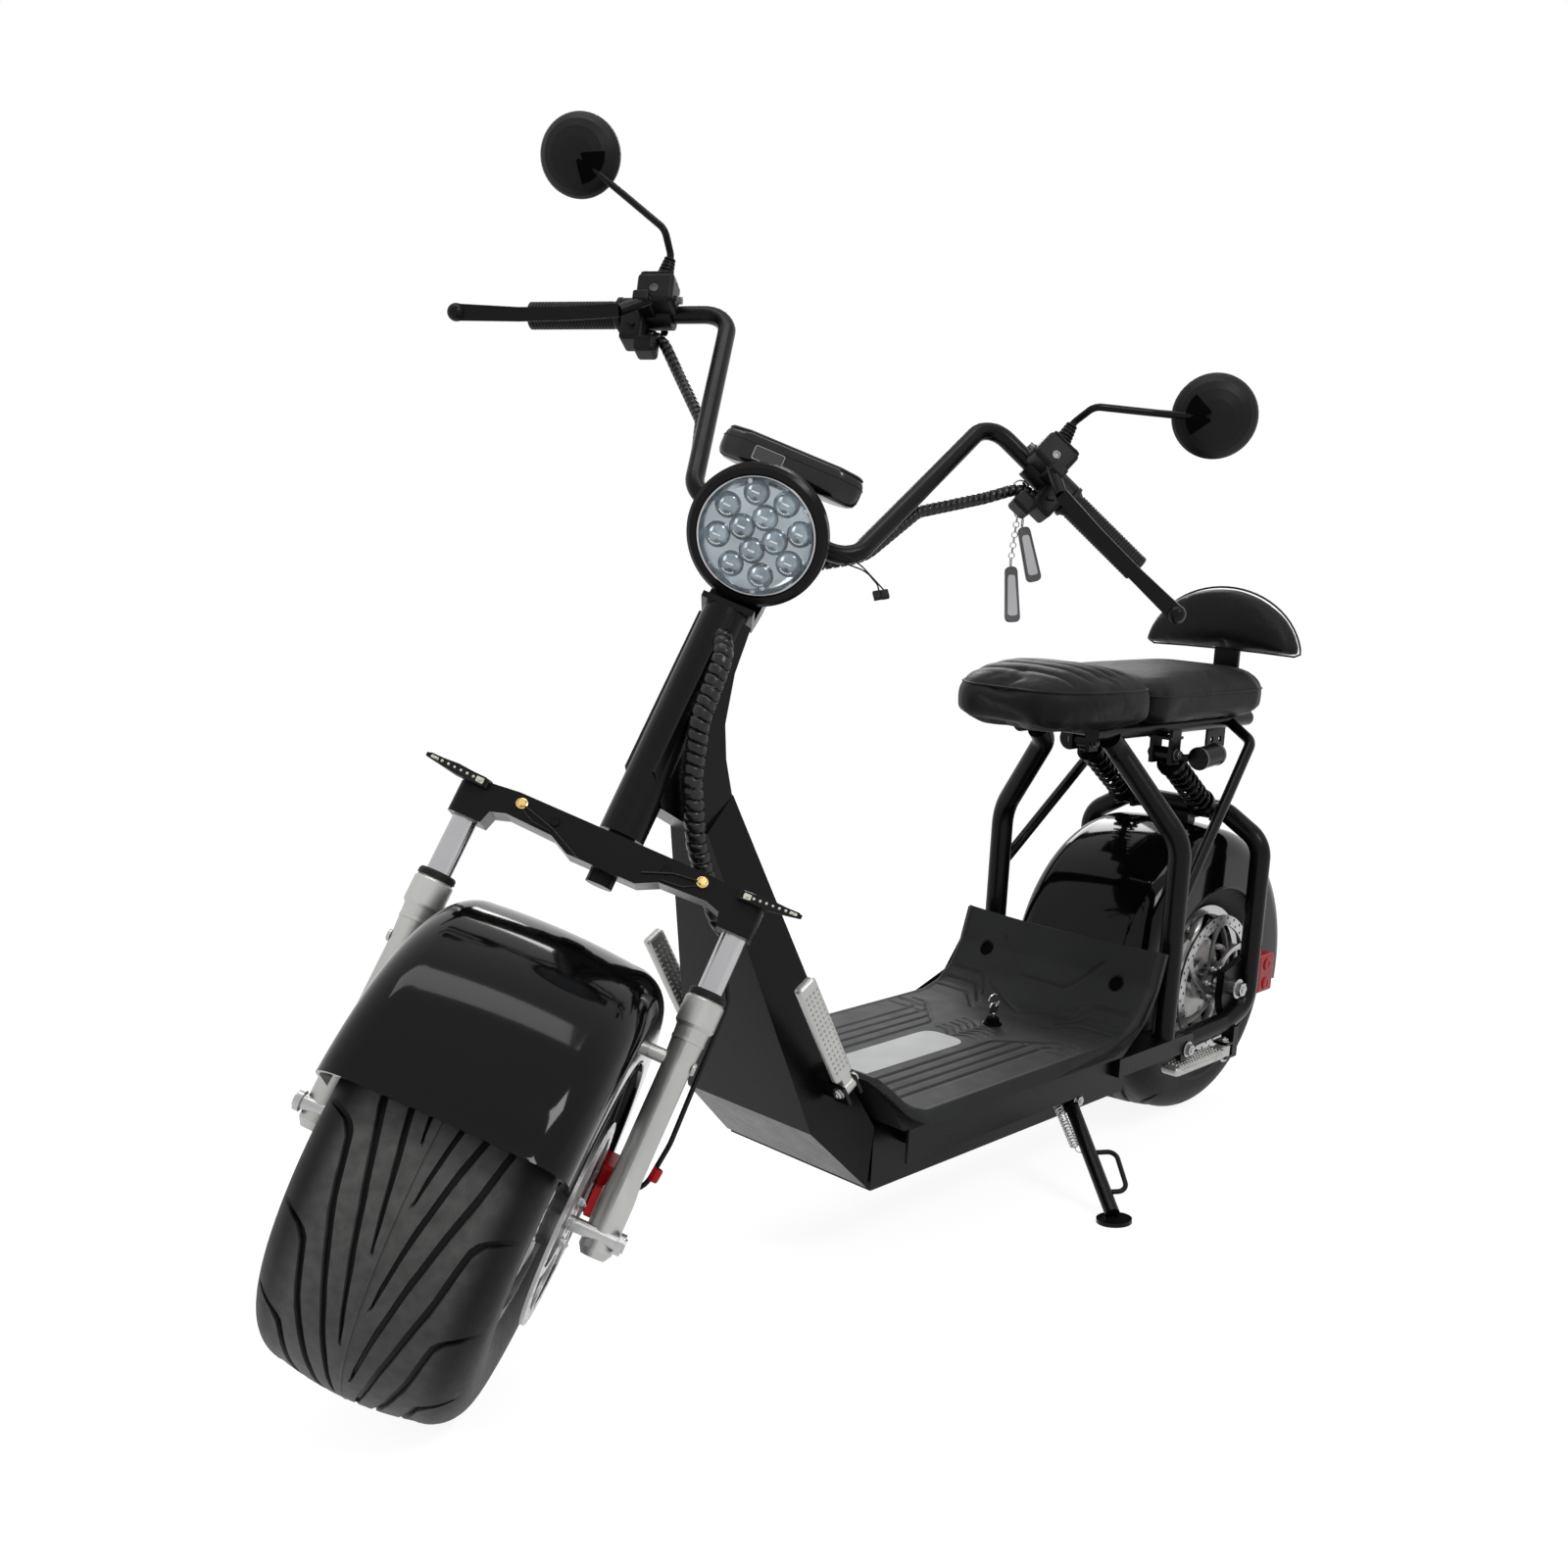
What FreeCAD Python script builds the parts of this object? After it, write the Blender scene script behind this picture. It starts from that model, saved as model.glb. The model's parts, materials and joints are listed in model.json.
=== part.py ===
"""Two-wheeled electric chopper scooter, parked on its side stand with the handlebar turned to its left stop.

Two working frames, both in millimetres with +X forward, +Y to the rider's left:
  the vehicle frame stands upright with its origin on the floor under the rear axle, and +Z up;
  the fork frame has its origin at the front axle, +Z up along the raked steering axis, +X ahead of it.
Each piece is drawn in one of them and then placed: the fork is turned about the steering axis, and the
whole vehicle leans over until both tyres and the stand's foot rest on the floor, Z = 0.
"""

import FreeCAD, Part
import Sketcher
import math
import os

from FreeCAD import Matrix, Placement, Rotation, Vector

doc = FreeCAD.newDocument("scooter")

# Driving dimensions: millimetres and degrees.
SIZES = {
    "wheelbase": 1297.0,
    "rake": 30.56,
    "fork_offset": 30.0,
    "steer_stop": 41.0,
    "lean": 7.0,
    # wheels
    "tyre_radius": 225.0,
    "rear_tyre_radius": 212.0,
    "rear_axle_height": 210.0,
    "tyre_half": 106.0,
    "tread_half": 66.0,
    "tread_drop": 7.0,
    "tread_mid_half": 36.0,
    "tread_mid_drop": 2.1,
    "shoulder_half": 92.0,
    "shoulder_drop": 18.0,
    "wall_low_half": 101.0,
    "wall_low_rise": 30.0,
    "bead_lift": 8.5,
    "shoulder_depth": 49.0,
    "bead_half": 90.0,
    "rim_radius": 106.0,
    "rim_wall": 5.0,
    "rim_flange": 8.0,
    "flange_wall": 4.0,
    "spoke_count": 10.0,
    "spoke_wall": 7.0,
    "vane_sweep": 12.0,
    "vane_half": 34.0,
    "motor_vane_half": 56.0,
    "front_hub_radius": 34.0,
    "motor_radius": 68.0,
    "motor_half": 62.0,
    "hub_half": 96.0,
    "axle_radius": 7.5,
    "axle_bore_gap": 0.05,
    "disc_radius": 104.0,
    "caliper_reach": 116.0,
    "disc_offset": 118.0,
    "disc_ring": 24.0,
    "disc_carrier": 30.0,
    # front fork
    "leg_half": 152.0,
    "leg_ahead": 19.0,
    "stanchion_radius": 13.5,
    "slider_radius": 15.5,
    "slider_collar_radius": 21.0,
    "slider_lug_radius": 17.5,
    "slider_top": 252.0,
    "slider_bottom": 22.0,
    "crown_bottom": 321.0,
    "crown_top": 366.0,
    "crown_half": 170.0,
    "crown_depth": 44.0,
    "front_axle_half": 178.0,
    "stem_radius": 15.0,
    "head_tube_radius": 25.0,
    "head_tube_bore": 15.05,
    "head_tube_low": 372.0,
    "head_tube_high": 642.0,
    # fenders
    "fender_gap": 27.0,
    "fender_half": 120.0,
    "rear_fender_gap": 19.0,
    "rear_fender_half": 114.0,
    "fender_wall": 3.5,
    "fender_shoulder": 42.0,
    "fender_skirt": 44.0,
    # handlebar
    "bar_radius": 11.0,
    "bar_bore": 8.5,
    "bar_bore_depth": 60.0,
    "grip_radius": 17.0,
    "headlight_radius": 78.0,
    "headlight_depth": 45.0,
    "headlight_tilt": 6.0,
    "headlight_ahead": 9.0,
    "lamp_rise": 81.0,
    "lamp_rim": 13.0,
    "lens_gap": 0.3,
    "mirror_radius": 51.0,
    "mirror_depth": 26.0,
    "loom_radius": 6.5,
    "hose_radius": 2.8,
    "frame_loom_radius": 10.5,
    # frame
    "deck_setback": 517.0,
    "neck_setback": 368.0,
    "box_half": 101.0,
    "box_wall": 3.0,
    "tray_half": 118.0,
    "tray_bottom": 93.0,
    "tray_top": 172.0,
    "mat_top": 195.0,
    "mat_half": 160.0,
    "tray_back": 236.0,
    "floor_back": 332.0,
    "tray_wall": 4.0,
    "beam_bottom": 146.0,
    "mat_corner": 60.0,
    "neck_half": 24.0,
    "pivot_radius": 6.0,
    "seat_tube_radius": 16.0,
    "seat_tube_half": 152.0,
    "rail_radius": 12.0,
    "strut_radius": 8.0,
    "hoop_radius": 15.0,
    "hoop_half": 148.0,
    "hoop_behind": 20.0,
    "shock_radius": 12.0,
    "spring_radius": 19.0,
    "spring_wire": 3.0,
    "spring_turns": 7.0,
    "reservoir_radius": 16.0,
    "running_gap": 0.3,
    "tail_lamp_half": 46.0,
    # side stand
    "peg_length": 142.0,
    "peg_pin": 4.0,
    "stand_radius": 9.5,
    "tang_radius": 3.2,
    "stand_foot_radius": 22.0,
    "stand_foot_wall": 5.0,
}

sheet = doc.addObject("Spreadsheet::Sheet", "Sizes")
for row, (alias, value) in enumerate(SIZES.items(), start=1):
    sheet.set("A%d" % row, alias)
    sheet.set("B%d" % row, repr(value))
    sheet.setAlias("B%d" % row, alias)
doc.recompute()


class Sheet:
    """Reads a size from the sheet by its alias."""

    def __getattr__(self, alias):
        return float(sheet.get(alias))

    def get(self, alias):
        return float(sheet.get(alias))


s = Sheet()
RAKE = math.radians(s.rake)
LEG = s.leg_half
LEG_X = s.leg_ahead - s.fork_offset
LAMP_UP = s.head_tube_high + s.lamp_rise
AXLE = s.rear_axle_height
DECK_FRONT = s.wheelbase - s.deck_setback
NECK_X = s.wheelbase - s.neck_setback
GAP = s.running_gap
parts = {}
groups = {}

Y = Vector(0, 1, 0)
X = Vector(1, 0, 0)
Z = Vector(0, 0, 1)


# Placements of the two frames

fork_to_vehicle = Placement(Vector(s.wheelbase, 0, s.tyre_radius), Rotation(Y, -s.rake))
steering_axis = fork_to_vehicle.Rotation.multVec(Z)
steering_point = fork_to_vehicle.multVec(Vector(-s.fork_offset, 0, 0))


def turned(degrees):
    """The placement that turns the fork about the steering axis, to the rider's left when positive."""
    return Placement(Vector(0, 0, 0), Rotation(steering_axis, degrees), steering_point)


def tyre_support(crown, tilt_sine):
    """Distance from a wheel's centre to its lowest point when its axle rises by the given sine."""
    level = math.sqrt(1 - tilt_sine * tilt_sine)
    return max(r * level + abs(y * tilt_sine) for r, y in tyre_section(crown))


def tyre_section(crown):
    """Outer points of the tyre, as (radius, half width), from the crown to the bead."""
    return [
        (crown, 0.0),
        (crown - s.tread_mid_drop, s.tread_mid_half),
        (crown - s.tread_drop, s.tread_half),
        (crown - s.shoulder_drop, s.shoulder_half),
        (crown - s.shoulder_depth, s.tyre_half),
        (s.rim_radius + s.wall_low_rise, s.wall_low_half),
        (s.rim_radius + s.bead_lift, s.bead_half),
    ]


def standing_placement():
    """The lean, the small pitch and the height at which both tyres just touch the floor."""
    pitch, height = 0.0, 0.0
    for _ in range(30):
        place = Placement(Vector(0, 0, height), Rotation(Y, pitch) * Rotation(X, -s.lean))
        front = place * turned(s.steer_stop) * fork_to_vehicle
        rear = place * Placement(Vector(0, 0, s.rear_axle_height), Rotation())
        front_gap = front.Base.z - tyre_support(s.tyre_radius, front.Rotation.multVec(Y).z)
        rear_gap = rear.Base.z - tyre_support(s.rear_tyre_radius, rear.Rotation.multVec(Y).z)
        height -= rear_gap
        pitch += math.degrees((front_gap - rear_gap) / s.wheelbase)
    return place


STAND = standing_placement()
FORK = STAND * turned(s.steer_stop) * fork_to_vehicle
REAR = STAND * Placement(Vector(0, 0, s.rear_axle_height), Rotation())
FLOOR_IN_VEHICLE = STAND.inverse()


# Helpers


def keep(name, shape, placement, body):
    """Stores one named sub-part on a body of the assembly."""
    piece = doc.addObject("Part::Feature", name)
    piece.Label = name
    piece.Shape = Part.makeCompound(shape.Solids)
    piece.Placement = placement
    parts[name] = piece
    groups.setdefault(body, []).append(name)
    return piece


def adopt(piece, placement, body):
    """Takes an object that is built from the sheet's cells as a named sub-part."""
    piece.Placement = placement
    piece.Label = piece.Name
    parts[piece.Name] = piece
    groups.setdefault(body, []).append(piece.Name)
    return piece


def rule(text):
    """The sheet expression and the present value of a sum such as "rim_radius - rim_wall + 2"."""
    sign, value, terms = 1, 0.0, []
    for word in text.split():
        if word in ("+", "-"):
            sign = -1 if word == "-" else 1
            continue
        size = word in SIZES
        value += sign * (float(sheet.get(word)) if size else float(word))
        terms.append(("- " if sign < 0 else "+ ") + ("Sizes." + word if size else word))
        sign = 1
    return "0 " + " ".join(terms), value


def bound(kind, name, place=None, **sizes):
    """A Part primitive whose sizes follow the sheet."""
    piece = doc.addObject("Part::" + kind, name)
    for size, text in sizes.items():
        piece.setExpression(size, rule(text)[0])
    piece.Placement = place or Placement()
    return piece


def at(x, y, z, turn=None):
    return Placement(Vector(x, y, z), turn or Rotation())


ALONG_Y = Rotation(Vector(1, 0, 0), -90)


def joined(name, pieces, kind="MultiFuse"):
    """A fusion or a compound of document objects."""
    whole = doc.addObject("Part::" + kind, name)
    if kind == "Compound":
        whole.Links = pieces
    else:
        whole.Shapes = pieces
    return whole


def without(name, base, tool):
    rest = doc.addObject("Part::Cut", name)
    rest.Base, rest.Tool = base, tool
    return rest


def pair(name, piece):
    """A piece and its mirror image on the rider's right."""
    other = doc.addObject("Part::Mirroring", name + "_right")
    other.Source = piece
    other.Normal = (0, 1, 0)
    return joined(name, [piece, other], "Compound")


def sketched(body, plane, outline):
    """A closed sketch on one of the body's planes. Each point is two sums of sizes from the origin."""
    sketch = body.newObject("Sketcher::SketchObject", body.Name + "_outline")
    found = [f for f in body.Origin.OriginFeatures if f.Role == plane][0]
    sketch.AttachmentSupport = [(found, "")]
    sketch.MapMode = "FlatFace"
    points = [Vector(rule(a)[1], rule(b)[1], 0) for a, b in outline]
    count = len(points)
    for k in range(count):
        sketch.addGeometry(Part.LineSegment(points[k], points[(k + 1) % count]), False)
    for k in range(count):
        sketch.addConstraint(Sketcher.Constraint("Coincident", k, 2, (k + 1) % count, 1))
    for k, point in enumerate(outline):
        for way, text in zip(("DistanceX", "DistanceY"), point):
            formula, value = rule(text)
            index = sketch.addConstraint(Sketcher.Constraint(way, -1, 1, k, 1, value))
            sketch.setExpression("Constraints[%d]" % index, formula)
    return sketch


def turned_body(name, plane, axis, outline):
    """A body turned from a sketch about the sketch's own H_Axis or V_Axis."""
    body = doc.addObject("PartDesign::Body", name)
    sketch = sketched(body, plane, outline)
    turn = body.newObject("PartDesign::Revolution", name + "_turned")
    turn.Profile = sketch
    turn.ReferenceAxis = (sketch, [axis])
    turn.Angle = 360
    body.Tip = turn
    doc.recompute()
    return body


def cylinder(radius, start, end):
    way = end - start
    return Part.makeCylinder(radius, way.Length, start, way)


def cone(radius_a, radius_b, start, end):
    way = end - start
    return Part.makeCone(radius_a, radius_b, way.Length, start, way)


def mirrored(shape):
    """The same piece on the rider's right."""
    return shape.mirror(Vector(0, 0, 0), Y)


def both(shape):
    """A left piece and its mirror image, as two solids."""
    return Part.makeCompound([shape, mirrored(shape)])


def fused(shapes):
    """The pieces welded into one solid."""
    shape = shapes[0].multiFuse(shapes[1:]) if len(shapes) > 1 else shapes[0]
    return shape.removeSplitter()


def rounded_path(points, radius):
    """A wire through the points, its corners rounded by arcs of the given radius."""
    edges = []
    start = points[0]
    for before, corner, after in zip(points, points[1:], points[2:]):
        into = (before - corner).normalize()
        out = (after - corner).normalize()
        half = into.getAngle(out) / 2
        cut = radius / math.tan(half)
        cut = min(cut, 0.48 * (before - corner).Length, 0.48 * (after - corner).Length)
        r = cut * math.tan(half)
        a, b = corner + into * cut, corner + out * cut
        bisector = (into + out).normalize()
        middle = corner + bisector * (r / math.sin(half) - r)
        edges.append(Part.LineSegment(start, a).toShape())
        edges.append(Part.Arc(a, middle, b).toShape())
        start = b
    edges.append(Part.LineSegment(start, points[-1]).toShape())
    return Part.Wire(edges)


def tube(points, radius, bend, bore=0.0):
    """A round tube bent along the points. With a bore it is hollow."""
    path = rounded_path(points, bend)
    way = (points[1] - points[0]).normalize()

    def sweep(r):
        ring = Part.Wire([Part.makeCircle(r, points[0], way)])
        solid = path.makePipeShell([ring], True, False)
        return solid

    outer = sweep(radius)
    return outer.cut(sweep(bore)) if bore else outer


def prism(outline, way):
    """A straight prism from a closed outline of points, pushed along a vector."""
    face = Part.Face(Part.makePolygon(list(outline) + [outline[0]]))
    return face.extrude(way)


def side_prism(outline, half):
    """An outline of (x, z) pairs in the vehicle's middle plane, made 2 * half wide."""
    points = [Vector(x, -half, z) for x, z in outline]
    return prism(points, Vector(0, 2 * half, 0))


def spun(profile, start=0.0, sweep=360.0):
    """A solid turned about the Y axis from a closed profile of (radius, y) pairs."""
    points = [Vector(r, y, 0) for r, y in profile]
    face = Part.Face(Part.makePolygon(points + [points[0]]))
    solid = face.revolve(Vector(0, 0, 0), Y, sweep)
    return solid.rotate(Vector(0, 0, 0), Y, start) if start else solid


def rounded(shape, radius, choose):
    """The shape with the chosen edges rounded."""
    edges = [e for e in shape.Edges if choose(e)]
    return shape.makeFillet(radius, edges)


# Wheels, each built about its own axle


def tyre(name, crown):
    """Low, wide road tyre: a nearly flat crown, round shoulders and full side walls."""
    half = [
        (crown + " - tread_mid_drop", "tread_mid_half"),
        (crown + " - tread_drop", "tread_half"),
        (crown + " - shoulder_drop", "shoulder_half"),
        (crown + " - shoulder_depth", "tyre_half"),
        ("rim_radius + wall_low_rise", "wall_low_half"),
        ("rim_radius + bead_lift", "bead_half"),
        ("rim_radius", "bead_half"),
    ]
    other = [(r, "- " + y) for r, y in reversed(half)]
    return turned_body(name, "XY_Plane", "V_Axis", [(crown, "0")] + half + other)


def rim_barrel(name):
    """The rim's barrel with a flange at each edge of the tyre's bead."""
    half = [
        ("rim_radius - rim_wall", "bead_half + flange_wall"),
        ("rim_radius + rim_flange", "bead_half + flange_wall"),
        ("rim_radius + rim_flange", "bead_half + 0.2"),
        ("rim_radius", "bead_half"),
    ]
    other = [(r, " ".join("-" if w == "+" else w for w in ("- " + y).split())) for r, y in reversed(half)]
    return turned_body(name, "XY_Plane", "V_Axis", half + other)


def vanes(name, inner, half):
    """Swept vanes between the hub's radius and the barrel, as bound boxes."""
    start = Placement(Vector(s.get(inner) - 3, -s.get(half), -s.spoke_wall / 2), Rotation(Y, s.vane_sweep))
    blades = []
    for k in range(int(s.spoke_count)):
        place = Placement(Vector(), Rotation(Y, 360.0 * k / s.spoke_count)) * start
        blades.append(bound("Box", "%s_vane_%d" % (name, k), place, Length="rim_radius - rim_wall - %s + 6" % inner,
                            Width="%s + %s" % (half, half), Height="spoke_wall"))
    return blades


def front_rim():
    bore, hub = "axle_radius + axle_bore_gap", "front_hub_radius"
    outline = [
        (bore, "- hub_half"), (hub + " - 14", "- hub_half"), (hub, "20 - hub_half"), (hub, "hub_half - 12"),
        ("disc_carrier", "hub_half"), ("disc_carrier", "disc_offset - 2"), (bore, "disc_offset - 2"),
    ]
    body = turned_body("front_hub", "XY_Plane", "V_Axis", outline)
    return joined("front_rim", [rim_barrel("front_barrel"), body] + vanes("front", hub, "vane_half"))


def rear_rim():
    """The rim with the hub motor's drum in its middle."""
    bore, hub = "axle_radius + axle_bore_gap", "motor_radius"
    outline = [
        (bore, "- hub_half"), ("26", "- hub_half"), ("30", "- motor_half - 8"), (hub, "- motor_half"),
        (hub, "motor_half"), ("disc_carrier + 8", "motor_half + 10"), ("disc_carrier", "hub_half"),
        ("disc_carrier", "disc_offset - 2"), (bore, "disc_offset - 2"),
    ]
    body = turned_body("motor_hub", "XY_Plane", "V_Axis", outline)
    return joined("rear_rim", [rim_barrel("rear_barrel"), body] + vanes("rear", hub, "motor_vane_half"))


def brake_disc(name):
    """Brake disc with six arms, bolted to the hub's carrier."""
    low, high = "disc_offset - 2", "disc_offset + 2"
    inner = "disc_radius - disc_ring"
    ring_out = [(inner, low), ("disc_radius", low), ("disc_radius", high), (inner, high)]
    boss_out = [("axle_radius + 4", low), ("disc_carrier + 2", low), ("disc_carrier + 2", high), ("axle_radius + 4", high)]
    rings = [turned_body(name + part, "XY_Plane", "V_Axis", out) for part, out in (("_ring", ring_out), ("_boss", boss_out))]
    reach = "disc_radius - disc_ring - disc_carrier + 4"
    start = Placement(Vector(s.disc_carrier - 1, s.disc_offset - 2, -6), Rotation())
    arms = []
    for k in range(6):
        place = Placement(Vector(), Rotation(Y, 60.0 * k)) * start
        arms.append(bound("Box", "%s_arm_%d" % (name, k), place, Length=reach, Width="4", Height="12"))
    return joined(name, rings + arms)


def add_wheels():
    adopt(tyre("front_tyre", "tyre_radius"), FORK, "front_wheel")
    adopt(front_rim(), FORK, "front_wheel")
    adopt(brake_disc("front_disc"), FORK, "front_wheel")
    adopt(tyre("rear_tyre", "rear_tyre_radius"), REAR, "rear_wheel")
    adopt(rear_rim(), REAR, "rear_wheel")
    adopt(brake_disc("rear_disc"), REAR, "rear_wheel")


# Front fork, in the fork frame


def slider():
    """Cast lower leg with its collar, tapered neck, axle lug, fender boss and caliper lug."""
    bottom, top, tube_r, collar, lug = "slider_bottom", "slider_top", "slider_radius", "slider_collar_radius", "slider_lug_radius"
    outline = [
        ("0", "- " + bottom), (lug + " - 5", "- " + bottom), (lug, "8 - " + bottom), (lug, "38"), (tube_r, "60"),
        (tube_r, top + " - 72"), (collar + " - 3", top + " - 34"), (collar, top + " - 30"), (collar, top + " - 4"),
        (collar + " - 3", top), ("0", top),
    ]
    leg = turned_body("slider_leg", "XZ_Plane", "V_Axis", outline)
    leg.Placement = at(LEG_X, LEG, 0)
    boss = bound("Cylinder", "fender_boss", at(LEG_X, s.fender_half, 182, ALONG_Y), Radius="7.5", Height="leg_half - fender_half")
    lug_block = bound("Box", "caliper_lug", at(-34, CALIPER_PLATE, 12), Length="22", Width="16", Height="32")
    bore = bound("Cylinder", "leg_bore", at(LEG_X, LEG, 150), Radius="stanchion_radius", Height="slider_top - 149")
    axle = bound("Cylinder", "axle_bore", at(0, LEG - 40, 0, ALONG_Y), Radius="axle_radius", Height="80")
    whole = joined("slider_cast", [leg, boss, lug_block])
    return pair("sliders", without("slider_left", whole, joined("slider_bores", [bore, axle])))


CALIPER_PLATE = 134.0


def crown():
    """Cast lower clamp: a beam with a deep socket for each leg and a boss for the stem."""
    top, low, half = s.crown_top, s.crown_bottom, s.crown_half
    outline = [
        (half, low), (half, top - 12), (half - 14, top - 5), (108, top), (-108, top), (-half + 14, top - 5), (-half, top - 12),
        (-half, low), (-132, low), (-128, low + 14), (-112, low + 19), (-60, low + 17), (-38, low + 6), (38, low + 6),
        (60, low + 17), (112, low + 19), (128, low + 14), (132, low),
    ]
    back = LEG_X - s.crown_depth / 2
    face = [Vector(back, y, z) for y, z in outline]
    beam = prism(face, Vector(s.crown_depth, 0, 0))
    beam = rounded(beam, 10.0, lambda e: abs(e.Length - (top - 12 - low)) < 1.0)
    boss = cylinder(26.0, Vector(-s.fork_offset, 0, low + 9), Vector(-s.fork_offset, 0, top))
    body = fused([beam, boss])
    for sign in (1, -1):
        hole = cylinder(s.stanchion_radius, Vector(LEG_X, sign * LEG, low - 20), Vector(LEG_X, sign * LEG, top - 12))
        body = body.cut(hole)
    stem = cylinder(s.stem_radius, Vector(-s.fork_offset, 0, low - 20), Vector(-s.fork_offset, 0, top + 20))
    return body.cut(stem)


def stem():
    """Steering stem: a shaft through the head tube, a gooseneck behind the headlight and the bar clamp."""
    axis_x, high = -s.fork_offset, s.head_tube_high
    shaft = cylinder(s.stem_radius, Vector(axis_x, 0, s.crown_bottom - 6), Vector(axis_x, 0, high + 8))
    outline = [
        (-66, high + 2), (-12, high + 2), (-12, high + 9), (-46, high + 9), (-60, high + 34), (-60, LAMP_UP + 17),
        (-48, LAMP_UP + 35), (-46, LAMP_UP + 69), (-20, LAMP_UP + 69), (-10, LAMP_UP + 83), (-35, LAMP_UP + 89),
        (-60, LAMP_UP + 89), (-82, LAMP_UP + 77), (-90, LAMP_UP + 29), (-88, high + 34),
    ]
    neck = prism([Vector(x, -30, z) for x, z in outline], Vector(0, 60, 0))
    clamps = Part.makeBox(34, 104, 34, Vector(BAR[0].x - 17, -52, BAR[0].z - 17))
    bar = cylinder(s.bar_radius, Vector(BAR[0].x, -60, BAR[0].z), Vector(BAR[0].x, 60, BAR[0].z))
    lug = cylinder(16.0, over_lamp(-64, 0, 28), over_lamp(-24, 0, 27))
    return fused([shaft, neck, clamps, lug]).cut(bar)


def over_lamp(x, y, z):
    """A point of the fork frame, its height measured from the lamp's centre."""
    return Vector(x, y, LAMP_UP + z)


BAR = [over_lamp(-66, 0, 45), over_lamp(-66, 98, 45), over_lamp(-172, 172, 321), over_lamp(-223, 406, 243)]


def past_bend(k):
    """The space past the middle plane of the bar's bend at BAR[k]."""
    way = ((BAR[k] - BAR[k - 1]).normalize() + (BAR[k + 1] - BAR[k]).normalize()).normalize()
    return placed(Part.makeBox(900, 900, 900, Vector(-450, -450, 0)), Placement(BAR[k], Rotation(Z, way)))


def handlebar():
    """The bent bar, bored at both ends, as five runs that are welded at the middles of its bends."""
    left = BAR[1:]
    right = [Vector(p.x, -p.y, p.z) for p in reversed(left)]
    bar = tube(right + left, s.bar_radius, 34.0)
    for side in (1, -1):
        end, deep = along_bar(0.0), along_bar(s.bar_bore_depth)
        bar = bar.cut(cylinder(s.bar_bore, Vector(end.x, side * end.y, end.z), Vector(deep.x, side * deep.y, deep.z)))
    riser_on, end_on = past_bend(1), past_bend(2)
    middle = bar.cut(riser_on).cut(mirrored(riser_on))
    return Part.makeCompound([middle, both(bar.common(riser_on).cut(end_on)), both(bar.common(end_on))])


def along_bar(distance):
    """A point of the left grip's centre line, measured from its outer end."""
    way = (BAR[2] - BAR[3]).normalize()
    return BAR[3] + way * distance


def grips():
    """Rubber grips, hollow for the bar and for the plug in its end."""
    def along(distance):
        return bar_place(distance) * Placement(Vector(), ALONG_Y)

    body = bound("Cylinder", "grip_sleeve", along(110.0), Radius="grip_radius", Height="116")
    flange = bound("Cylinder", "grip_flange", along(116.0), Radius="grip_radius + 5", Height="6")
    core = bound("Cylinder", "grip_core", along(140.0), Radius="bar_radius", Height="140")
    plug = bound("Cylinder", "grip_plug", along(1.0), Radius="bar_bore", Height="11")
    left = without("grip_left", joined("grip_outer", [body, flange]), joined("grip_inner", [core, plug]))
    return pair("grips", left)


def largest(shape):
    """The biggest solid of a shape."""
    return max(shape.Solids, key=lambda solid: solid.Volume)


def bar_place(distance):
    """Frame on the left grip's line: X ahead of the bar, Y outwards along it, Z above it."""
    way = (BAR[3] - BAR[2]).normalize()
    ahead = Vector(1, 0, 0)
    ahead = (ahead - way * ahead.dot(way)).normalize()
    above = ahead.cross(way)
    at = along_bar(distance)
    return Placement(Matrix(ahead.x, way.x, above.x, at.x, ahead.y, way.y, above.y, at.y, ahead.z, way.z, above.z, at.z, 0, 0, 0, 1))


def block(size, corner, radius):
    shape = Part.makeBox(size[0], size[1], size[2], Vector(*corner))
    return rounded(shape, radius, lambda e: True)


def control():
    """Brake perch with its fluid reservoir, and the switch housing between it and the grip."""
    core = cylinder(s.bar_radius, along_bar(90.0), along_bar(214.0))
    clamp = cylinder(19.0, along_bar(150.0), along_bar(180.0))
    reservoir = placed(block((40, 46, 38), (10, -23, -8), 6.0), bar_place(166.0))
    arm = placed(block((52, 20, 14), (6, -10, -12), 3.0), bar_place(152.0))
    perch = fused([clamp, reservoir, arm]).cut(core)
    ring = cylinder(21.0, along_bar(117.0), along_bar(149.0))
    pod = placed(block((38, 30, 40), (-14, -15, -44), 5.0), bar_place(134.0))
    knob = placed(block((30, 26, 22), (-6, -13, -60), 5.0), bar_place(152.0))
    switch = fused([ring, pod, knob]).cut(core).cut(perch)
    return perch, largest(switch)


LEVER = [over_lamp(-135, 288, 251), over_lamp(-148, 345, 228), over_lamp(-152, 400, 204), over_lamp(-141, 466, 170)]


def lever():
    """Brake lever blade from the perch past the grip."""
    widths = ((6.0, 8.0), (5.0, 8.0), (4.5, 8.5), (5.5, 10.0))
    way = (LEVER[3] - LEVER[0]).normalize()
    side = way.cross(Vector(0.45, 0, 0.9)).normalize()
    up = side.cross(way).normalize()
    sections = []
    for point, (thick, high) in zip(LEVER, widths):
        corners = [point + side * (thick * a) + up * (high * b) for a, b in ((1, 1), (-1, 1), (-1, -1), (1, -1))]
        sections.append(Part.makePolygon(corners + [corners[0]]))
    blade = Part.makeLoft(sections, True, True)
    ball = Part.makeSphere(11.0, LEVER[3])
    root = cylinder(7.0, LEVER[0], along_bar(152.0) + Vector(44, 0, -4))
    return fused([blade, ball, root])


MIRROR = over_lamp(-141, 421, 426)
MIRROR_STEM = [over_lamp(-166, 262, 317), over_lamp(-160, 268, 357), over_lamp(-134, 283, 373), over_lamp(-150, 392, 417)]


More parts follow.
